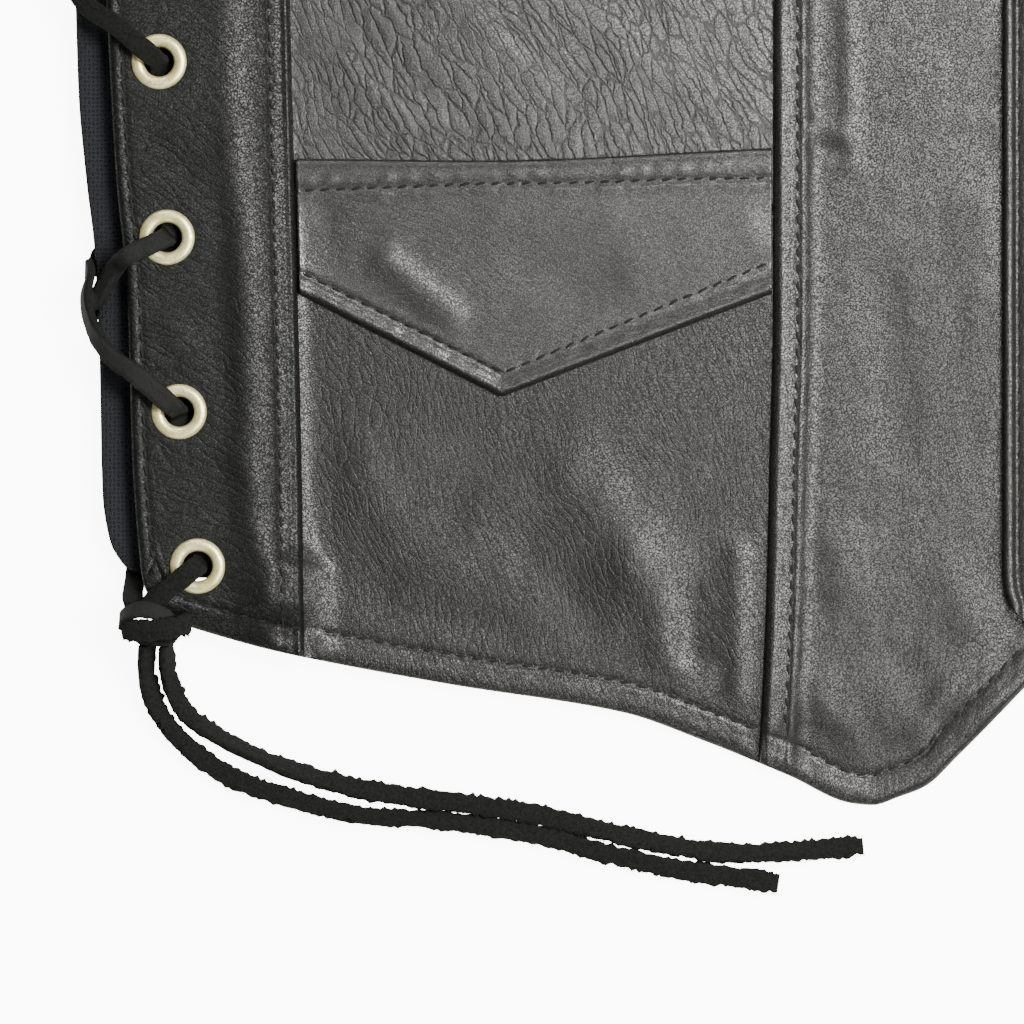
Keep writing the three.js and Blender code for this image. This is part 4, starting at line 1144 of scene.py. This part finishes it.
def knot(half, material):
    all_points = []
    all_faces = []
    marks = []
    for k, (route, wide, grain_up) in enumerate(KNOT_BANDS):
        line, _ = smooth_line(route, 0.6)
        middle = np.array([-225.5, 45.4, 11.6])
        flats = unit((line - middle) * np.array([1, 0.25, 1]))
        rough = 0.04 if grain_up else 0.2
        points, faces, grain = band(line, flats, wide, 1.9, half.seed + 60 + k, rough, grain_up)
        start = sum(len(p) for p in all_points)
        all_points.append(points)
        all_faces += [tuple(start + i for i in face) for face in faces]
        marks.append(grain)
    made = half.piece(
        "knot_thong", np.vstack(all_points), all_faces, material, "thong",
        marks={"grain_side": np.concatenate(marks)},
    )
    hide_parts(f"{half.side}_knot")


def tail(half, name, route, roll, turn, material, fibre, seed):
    """A free end of the thong, lying on the surface; turn swings it about the knot."""
    route = np.array(route, dtype=float)
    x = route[:, 0] - KNOT_X
    y = route[:, 1] - KNOT_Y
    route[:, 0] = KNOT_X + x * math.cos(turn) - y * math.sin(turn)
    route[:, 1] = KNOT_Y + x * math.sin(turn) + y * math.cos(turn)
    line, passed = smooth_line(route, 0.9)
    angle = curve_through(roll)(passed / passed[-1])
    along = unit(np.gradient(line, axis=0))
    level = unit(np.cross(np.array([0, 0, 1.0]), along))
    up = np.cross(along, level)
    flats = up * np.cos(angle)[:, None] + level * np.sin(angle)[:, None]
    half_height = 0.5 * (THONG_WIDE * np.abs(np.sin(angle)) + THONG_THICK * np.cos(angle))
    line[:, 2] = np.maximum(line[:, 2], half_height * 0.86 + 0.1)
    points, faces, grain = band(line, flats, THONG_WIDE, THONG_THICK, half.seed + seed, 0.2, False)
    points[:, 2] = np.maximum(points[:, 2], 0.02)
    fibres, fibre_faces = nap(line, flats, THONG_WIDE, THONG_THICK, 16, half.seed + seed + 1)
    made = half.piece(f"{name}_end", points, faces, material, "thong", marks={"grain_side": grain})
    fuzz = half.piece(f"{name}_end_nap", fibres, fibre_faces, fibre, "thong", smooth=False)
    path = line.copy()
    if half.mirror:
        path[:, 0] *= -1
    path = in_scene(path)
    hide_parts(f"{half.side}_tail_{name}")
    tuple(path[0])
    [tuple(p) for p in path]


# Materials
def new_group(name, inputs, outputs):
    """An empty node group. inputs are (name, kind, default) and outputs (name, kind)."""
    group = bpy.data.node_groups.new(name, "ShaderNodeTree")
    for label, kind, default in inputs:
        socket = group.interface.new_socket(name=label, in_out="INPUT", socket_type=f"NodeSocket{kind}")
        if default is not None:
            socket.default_value = default
    for label, kind in outputs:
        group.interface.new_socket(name=label, in_out="OUTPUT", socket_type=f"NodeSocket{kind}")
    start = group.nodes.new("NodeGroupInput")
    end = group.nodes.new("NodeGroupOutput")
    return group, start, end


class Wiring:
    """Short words for adding nodes to a tree and joining them."""

    def __init__(self, tree):
        self.tree = tree

    def put(self, kind, settings=None, **inputs):
        node = self.tree.nodes.new(f"ShaderNode{kind}")
        for key, value in (settings or {}).items():
            setattr(node, key, value)
        for key, value in inputs.items():
            self.feed(node.inputs[key.replace("_", " ")], value)
        return node

    def feed(self, socket, value):
        if isinstance(value, bpy.types.NodeSocket):
            self.tree.links.new(value, socket)
        else:
            socket.default_value = value

    def maths(self, operation, a, b=0.0, clamp=False):
        node = self.tree.nodes.new("ShaderNodeMath")
        node.operation = operation
        node.use_clamp = clamp
        self.feed(node.inputs[0], a)
        self.feed(node.inputs[1], b)
        return node.outputs[0]

    def between(self, value, low, high, to_low=0.0, to_high=1.0):
        node = self.put("MapRange", {"interpolation_type": "SMOOTHSTEP"})
        for index, item in enumerate((value, low, high, to_low, to_high)):
            self.feed(node.inputs[index], item)
        return node.outputs[0]

    def blend(self, factor, a, b):
        node = self.put("Mix", {"data_type": "RGBA"})
        self.feed(node.inputs[0], factor)
        self.feed(node.inputs[6], a)
        self.feed(node.inputs[7], b)
        return node.outputs[2]


def grain_group():
    """Leather grain: pebbles, longer creases that run one way, and soft patches of tone."""
    group, start, end = new_group(
        "leather_grain",
        [
            ("Place", "Vector", None), ("Pebble Size", "Float", 1.0), ("Pebble Depth", "Float", 0.08),
            ("Crease Size", "Float", 4.0), ("Crease Angle", "Float", 0.0), ("Crease Depth", "Float", 0.1),
            ("Crack Shade", "Float", 0.5),
        ],
        [("Height", "Float"), ("Hollow", "Float"), ("Patch", "Float")],
    )
    w = Wiring(group)
    place = start.outputs["Place"]
    stray = w.put("TexNoise", Vector=place, Scale=0.35, Detail=3.0)
    stray_centred = w.put("VectorMath", {"operation": "SUBTRACT"})
    w.feed(stray_centred.inputs[0], stray.outputs["Color"])
    w.feed(stray_centred.inputs[1], (0.5, 0.5, 0.5))
    stray_scaled = w.put("VectorMath", {"operation": "SCALE"}, Scale=1.6)
    w.feed(stray_scaled.inputs[0], stray_centred.outputs[0])
    bend = w.put("TexNoise", Vector=place, Scale=0.03, Detail=1.0)
    bend_centred = w.put("VectorMath", {"operation": "SUBTRACT"})
    w.feed(bend_centred.inputs[0], bend.outputs["Color"])
    w.feed(bend_centred.inputs[1], (0.5, 0.5, 0.5))
    bend_scaled = w.put("VectorMath", {"operation": "SCALE"}, Scale=14.0)
    w.feed(bend_scaled.inputs[0], bend_centred.outputs[0])
    bent = w.put("VectorMath", {"operation": "ADD"})
    w.feed(bent.inputs[0], place)
    w.feed(bent.inputs[1], bend_scaled.outputs[0])
    wandering = w.put("VectorMath", {"operation": "ADD"})
    w.feed(wandering.inputs[0], bent.outputs[0])
    w.feed(wandering.inputs[1], stray_scaled.outputs[0])

    fineness = w.maths("DIVIDE", 1.0, start.outputs["Pebble Size"])
    pebbles = w.put(
        "TexVoronoi", {"feature": "DISTANCE_TO_EDGE"}, Vector=wandering.outputs[0], Scale=fineness
    )
    plates = w.between(pebbles.outputs["Distance"], 0.0, 0.3)
    small = w.put(
        "TexNoise", Vector=place, Scale=w.maths("MULTIPLY", fineness, 1.1), Detail=3.0, Roughness=0.6
    )
    off_centre = w.maths("ABSOLUTE", w.maths("SUBTRACT", small.outputs["Fac"], 0.5))
    worms = w.between(off_centre, 0.0, 0.11)
    pebble = w.maths("ADD", w.maths("MULTIPLY", plates, 0.5), w.maths("MULTIPLY", worms, 0.5))

    turned = w.put(
        "VectorRotate", {"rotation_type": "Z_AXIS"}, Vector=wandering.outputs[0],
        Angle=start.outputs["Crease Angle"],
    )
    stretched = w.put("VectorMath", {"operation": "MULTIPLY"})
    w.feed(stretched.inputs[0], turned.outputs[0])
    w.feed(stretched.inputs[1], (0.22, 1.0, 1.0))
    crease_fineness = w.maths("DIVIDE", 1.0, start.outputs["Crease Size"])
    cells = w.put(
        "TexVoronoi", {"feature": "DISTANCE_TO_EDGE"}, Vector=stretched.outputs[0], Scale=crease_fineness
    )
    crease = w.between(cells.outputs["Distance"], 0.0, 0.12)
    swell = w.between(cells.outputs["Distance"], 0.0, 0.5)
    where = w.put("TexNoise", Vector=place, Scale=0.05, Detail=2.0)
    some = w.between(where.outputs["Fac"], 0.34, 0.52, 0.5, 1.0)

    pebble_height = w.maths(
        "MULTIPLY", start.outputs["Pebble Depth"],
        w.maths("ADD", pebble, w.maths("MULTIPLY", small.outputs["Fac"], 0.8)),
    )
    crease_height = w.maths(
        "MULTIPLY", w.maths("MULTIPLY", start.outputs["Crease Depth"], some),
        w.maths("ADD", crease, w.maths("MULTIPLY", swell, 0.8)),
    )
    w.feed(end.inputs["Height"], w.maths("ADD", pebble_height, crease_height))
    # Hollow: the low places between pebbles and the cracks between creases; the leather paints shade into
    # its colour there and thins its finish there.
    cracked = w.maths("MULTIPLY", w.maths("SUBTRACT", 1.0, crease), start.outputs["Crack Shade"])
    hollow = w.maths("MAXIMUM", w.between(w.maths("SUBTRACT", 1.0, pebble), 0.12, 0.8), cracked)
    w.feed(end.inputs["Hollow"], hollow)
    patches = w.put("TexNoise", Vector=place, Scale=0.028, Detail=3.0)
    w.feed(end.inputs["Patch"], w.between(patches.outputs["Fac"], 0.35, 0.65))
    return group


def weave_group():
    """Plain weave: threads that pass over and under each other."""
    group, start, end = new_group(
        "plain_weave",
        [("Place", "Vector", None), ("Pitch", "Float", 0.75)],
        [("Height", "Float"), ("Thread", "Float")],
    )
    w = Wiring(group)
    wobble = w.put("TexNoise", Vector=start.outputs["Place"], Scale=0.6, Detail=2.0)
    split = w.put("SeparateXYZ", Vector=start.outputs["Place"])
    shift = w.maths("MULTIPLY", w.maths("SUBTRACT", wobble.outputs["Fac"], 0.5), 0.8)
    turn = w.maths("DIVIDE", math.pi, start.outputs["Pitch"])
    across = w.maths("MULTIPLY", w.maths("ADD", split.outputs["X"], shift), turn)
    upward = w.maths("MULTIPLY", w.maths("SUBTRACT", split.outputs["Y"], shift), turn)
    threads_up = w.maths("ABSOLUTE", w.maths("SINE", across))
    threads_across = w.maths("ABSOLUTE", w.maths("SINE", upward))
    checks = w.maths("MULTIPLY", w.maths("COSINE", across), w.maths("COSINE", upward))
    over = w.between(checks, -0.25, 0.25)
    height = w.put("Mix", {"data_type": "FLOAT"})
    w.feed(height.inputs[0], over)
    w.feed(height.inputs[2], threads_up)
    w.feed(height.inputs[3], threads_across)
    w.feed(end.inputs["Height"], height.outputs[0])
    w.feed(end.inputs["Thread"], over)
    return group


def suede_group():
    """The velvety side of leather: short nap that lies in uneven tufts."""
    group, start, end = new_group(
        "suede_nap", [("Place", "Vector", None)], [("Height", "Float"), ("Tone", "Float")]
    )
    w = Wiring(group)
    tufts = w.put("TexNoise", Vector=start.outputs["Place"], Scale=1.5, Detail=6.0, Roughness=0.7)
    fibres = w.put("TexNoise", Vector=start.outputs["Place"], Scale=5.0, Detail=3.0, Roughness=0.8)
    w.feed(
        end.inputs["Height"],
        w.maths("ADD", tufts.outputs["Fac"], w.maths("MULTIPLY", fibres.outputs["Fac"], 0.5)),
    )
    w.feed(end.inputs["Tone"], w.between(tufts.outputs["Fac"], 0.35, 0.65))
    return group


def new_material(name):
    """A material with its wiring, its shader and places in millimetres."""
    made = bpy.data.materials.new(name)
    made.use_nodes = True
    w = Wiring(made.node_tree)
    shader = made.node_tree.nodes["Principled BSDF"]
    coordinates = w.put("TexCoord")
    in_mm = w.put("VectorMath", {"operation": "SCALE"}, Scale=1000.0)
    w.feed(in_mm.inputs[0], coordinates.outputs["Object"])
    return made, w, shader, in_mm.outputs[0]


def placed_group(w, group, **inputs):
    node = w.tree.nodes.new("ShaderNodeGroup")
    node.node_tree = group
    for key, value in inputs.items():
        w.feed(node.inputs[key.replace("_", " ")], value)
    return node


def add_bump(w, shader, height, depth_in_mm, strength=1.0):
    bump = w.put("Bump", Height=height, Strength=strength, Distance=depth_in_mm * MM)
    w.feed(shader.inputs["Normal"], bump.outputs["Normal"])


def leather(name, group, dark, lit, gloss, shine, pebble, depth, crease, angle, crease_depth):
    """Black grain leather, with a finish that has worn out of the hollows of its grain, painted shade that
    darkens those hollows, and a lighter tone along the crests of its edges that is partly wear and partly a
    painted highlight.

    gloss is its roughness where it is smooth, and shine how strongly it reflects.
    """
    made, w, shader, place = new_material(name)
    grain = placed_group(
        w, group, Place=place, Pebble_Size=pebble, Pebble_Depth=depth, Crease_Size=crease,
        Crease_Angle=angle, Crease_Depth=crease_depth, Crack_Shade=min(1, 6 * crease_depth),
    )
    wear_and_sheen = w.put("Attribute", {"attribute_name": "wear_and_sheen"}).outputs["Fac"]
    tone = w.blend(grain.outputs["Patch"], (*dark, 1), (*lit, 1))
    # Painted highlight, partly wear: the colour lightens toward a pale grey along the crests of edges.
    rubbed_and_sheen = w.blend(w.maths("MULTIPLY", wear_and_sheen, 0.4), tone, tuple(min(1, c * 2.2) for c in lit) + (1,))
    # Painted shade: the hollows of the grain and the cracks are darkened toward black.
    shaded_hollows = w.blend(w.maths("MULTIPLY", grain.outputs["Hollow"], 0.9), rubbed_and_sheen, (0.002, 0.0022, 0.002, 1))
    w.feed(shader.inputs["Base Color"], shaded_hollows)
    worn = w.maths("SUBTRACT", gloss, w.maths("MULTIPLY", wear_and_sheen, 0.1))
    uneven = w.maths("MULTIPLY", w.maths("SUBTRACT", grain.outputs["Patch"], 0.5), 0.08)
    dull = w.maths("MULTIPLY", grain.outputs["Hollow"], 0.3)
    w.feed(shader.inputs["Roughness"], w.maths("ADD", w.maths("ADD", worn, uneven), dull, clamp=True))
    shader.inputs["Specular IOR Level"].default_value = 0.75 * shine
    finish = w.maths("SUBTRACT", 1.0, grain.outputs["Hollow"])
    thicker = w.maths("ADD", finish, 0.25)
    w.feed(shader.inputs["Coat Weight"], w.maths("MULTIPLY", finish, thicker, clamp=True))
    shader.inputs["Coat Roughness"].default_value = gloss + 0.09
    reflected = math.sqrt(0.1 * shine)
    shader.inputs["Coat IOR"].default_value = (1 + reflected) / (1 - reflected)
    add_bump(w, shader, grain.outputs["Height"], 0.9)
    return made


def canvas(name, group):
    made, w, shader, place = new_material(name)
    weave = placed_group(w, group, Place=place, Pitch=1.05)
    worn = w.put("TexNoise", Vector=place, Scale=0.06, Detail=3.0)
    tone = w.blend(worn.outputs["Fac"], (0.006, 0.0078, 0.0115, 1), (0.022, 0.0265, 0.036, 1))
    # Painted shade: the colour darkens toward black in the gaps between the threads.
    between = w.blend(w.between(weave.outputs["Height"], 0.35, 0.95), (0.0015, 0.0018, 0.0026, 1), tone)
    w.feed(shader.inputs["Base Color"], between)
    shader.inputs["Roughness"].default_value = 0.9
    shader.inputs["Sheen Weight"].default_value = 0.15
    shader.inputs["Specular IOR Level"].default_value = 0.3
    add_bump(w, shader, weave.outputs["Height"], 0.5)
    return made


def brass(name):
    made, w, shader, place = new_material(name)
    clouds = w.put("TexNoise", Vector=place, Scale=0.5, Detail=5.0)
    specks = w.put("TexNoise", Vector=place, Scale=2.4, Detail=4.0)
    tarnish = w.between(clouds.outputs["Fac"], 0.45, 0.68)
    warm = w.blend(tarnish, (1.0, 0.95, 0.5, 1), (0.86, 0.76, 0.28, 1))
    speckled = w.blend(w.between(specks.outputs["Fac"], 0.6, 0.72), warm, (0.2, 0.16, 0.08, 1))
    w.feed(shader.inputs["Base Color"], speckled)
    shader.inputs["Metallic"].default_value = 0.6
    w.feed(shader.inputs["Roughness"], w.between(specks.outputs["Fac"], 0.3, 0.7, 0.26, 0.46))
    add_bump(w, shader, specks.outputs["Fac"], 0.03)
    return made


def thong_leather(name, group):
    """Grain on the side marked grain_side, suede on the others."""
    made, w, shader, place = new_material(name)
    suede = placed_group(w, group, Place=place)
    grain = w.put("Attribute", {"attribute_name": "grain_side"}).outputs["Fac"]
    tone = w.blend(suede.outputs["Tone"], (0.0025, 0.003, 0.0025, 1), (0.013, 0.0145, 0.0115, 1))
    w.feed(shader.inputs["Base Color"], w.blend(grain, tone, (0.007, 0.008, 0.007, 1)))
    w.feed(shader.inputs["Roughness"], w.between(grain, 0.0, 1.0, 0.95, 0.52))
    shader.inputs["Specular IOR Level"].default_value = 0.28
    depth = w.between(grain, 0.0, 1.0, 1.0, 0.5)
    add_bump(w, shader, w.maths("MULTIPLY", suede.outputs["Height"], depth), 0.6)
    return made


def thread(name, colour, roughness):
    made, w, shader, place = new_material(name)
    twist = w.put("TexNoise", Vector=place, Scale=3.0, Detail=2.0)
    dark = tuple(0.5 * c for c in colour)
    w.feed(shader.inputs["Base Color"], w.blend(twist.outputs["Fac"], (*dark, 1), (*colour, 1)))
    shader.inputs["Roughness"].default_value = roughness
    add_bump(w, shader, twist.outputs["Fac"], 0.08)
    return made


# The vest
set_up_camera()
set_up_studio()

suede_nap = suede_group()
thong_material = thong_leather("thong_leather", suede_nap)
fibre_material = thread("thong_fibres", (0.02, 0.022, 0.018), 0.9)
right = Half("right", 1.0)
left = Half("left", 1.7)
for half, swing in ((right, 0.0), (left, -0.1)):
    tail(half, "long", LONG_TAIL, LONG_ROLL, swing, thong_material, fibre_material, 71)
    tail(half, "short", SHORT_TAIL, SHORT_ROLL, swing, thong_material, fibre_material, 75)

grain = grain_group()
weave = weave_group()
WARM = (0.022, 0.0218, 0.021)
DARK = (0.014, 0.0142, 0.0136)
GREEN_WARM = (0.01, 0.012, 0.0096)
GREEN_DARK = (0.006, 0.0074, 0.006)
side_leather = leather(
    "side_leather", grain, GREEN_DARK, GREEN_WARM, gloss=0.32, shine=0.26,
    pebble=0.75, depth=0.05, crease=2.4, angle=0.5, crease_depth=0.08,
)
chest_leather = leather(
    "chest_leather", grain, DARK, WARM, gloss=0.19, shine=0.9,
    pebble=0.72, depth=0.075, crease=2.5, angle=1.12, crease_depth=0.16,
)
pocket_leather = leather(
    "pocket_leather", grain, DARK, WARM, gloss=0.24, shine=0.44,
    pebble=0.7, depth=0.065, crease=1.9, angle=1.25, crease_depth=0.07,
)
flap_leather = leather(
    "flap_leather", grain, DARK, WARM, gloss=0.19, shine=0.7,
    pebble=0.62, depth=0.08, crease=2.2, angle=0.3, crease_depth=0.045,
)
edge_leather = leather(
    "edge_leather", grain, DARK, WARM, gloss=0.25, shine=0.45,
    pebble=0.66, depth=0.065, crease=2.4, angle=1.5, crease_depth=0.04,
)
back_leather = leather(
    "back_leather", grain, DARK, WARM, gloss=0.35, shine=0.5,
    pebble=1.0, depth=0.05, crease=6, angle=1.3, crease_depth=0.05,
)
lining_canvas = canvas("lining_canvas", weave)
brass_metal = brass("antique_brass")
sewing_thread = thread("sewing_thread", (0.005, 0.005, 0.005), 0.85)

back_layer(
    "back_panel", back_under, LEATHER, 0, back_leather, "leather"
)
back_layer(
    "back_lining", lambda x, y: back_under(x, y) + LINING_UNDER, LINING, 0.4, lining_canvas, "lining",
)
back_thickness = LINING_UNDER + LINING
for half in (right, left):
    side_panel(half, side_leather)
    chest_panel(half, chest_leather)
    pocket_front(half, pocket_leather)
    pocket_flap(half, flap_leather)
    edge_panel(half, edge_leather)
    half.sew(sewing_thread)
    front_places = [(x, y, float(front_under(np.array(x), np.array(y)))) for x, y in FRONT_GROMMETS]
    back_places = [
        (x, y, float(back_under(np.array(x), np.array(y))) + back_thickness) for x, y in BACK_GROMMETS
    ]
    lathe(
        front_places, rolled_ring(LEATHER), f"{half.side}_front_eyelets", brass_metal,
        [f"{half.side}_grommet_front_{i}" for i in range(1, 7)], half.mirror,
    )
    lathe(
        back_places, rolled_ring(back_thickness), f"{half.side}_back_eyelets", brass_metal,
        [f"{half.side}_grommet_back_{i}" for i in range(1, 7)], half.mirror, face_down=True,
    )
    lace(half, thong_material)
    knot(half, thong_material)

lower_front = FRONT_UNDER + LEATHER
cap = lower_front + OVERLAP_ROOM + LEATHER + 0.15
snap_profile = [
    (0, lower_front + 0.3), (4.6, lower_front + 0.3), (5, lower_front + 0.6), (5, lower_front + 1.5),
    (2, lower_front + 1.5), (2, cap), (6.4, cap), (6.9, cap + 0.3), (7, cap + 0.7), (6.7, cap + 1.2),
    (5.9, cap + 1.7), (4.6, cap + 2.1), (2.6, cap + 2.35), (0, cap + 2.4),
]
lathe(
    [(x, y, 0) for x, y in SNAPS], snap_profile, "front_snaps", brass_metal,
    [f"snap_{i}" for i in range(1, 5)], False,
)
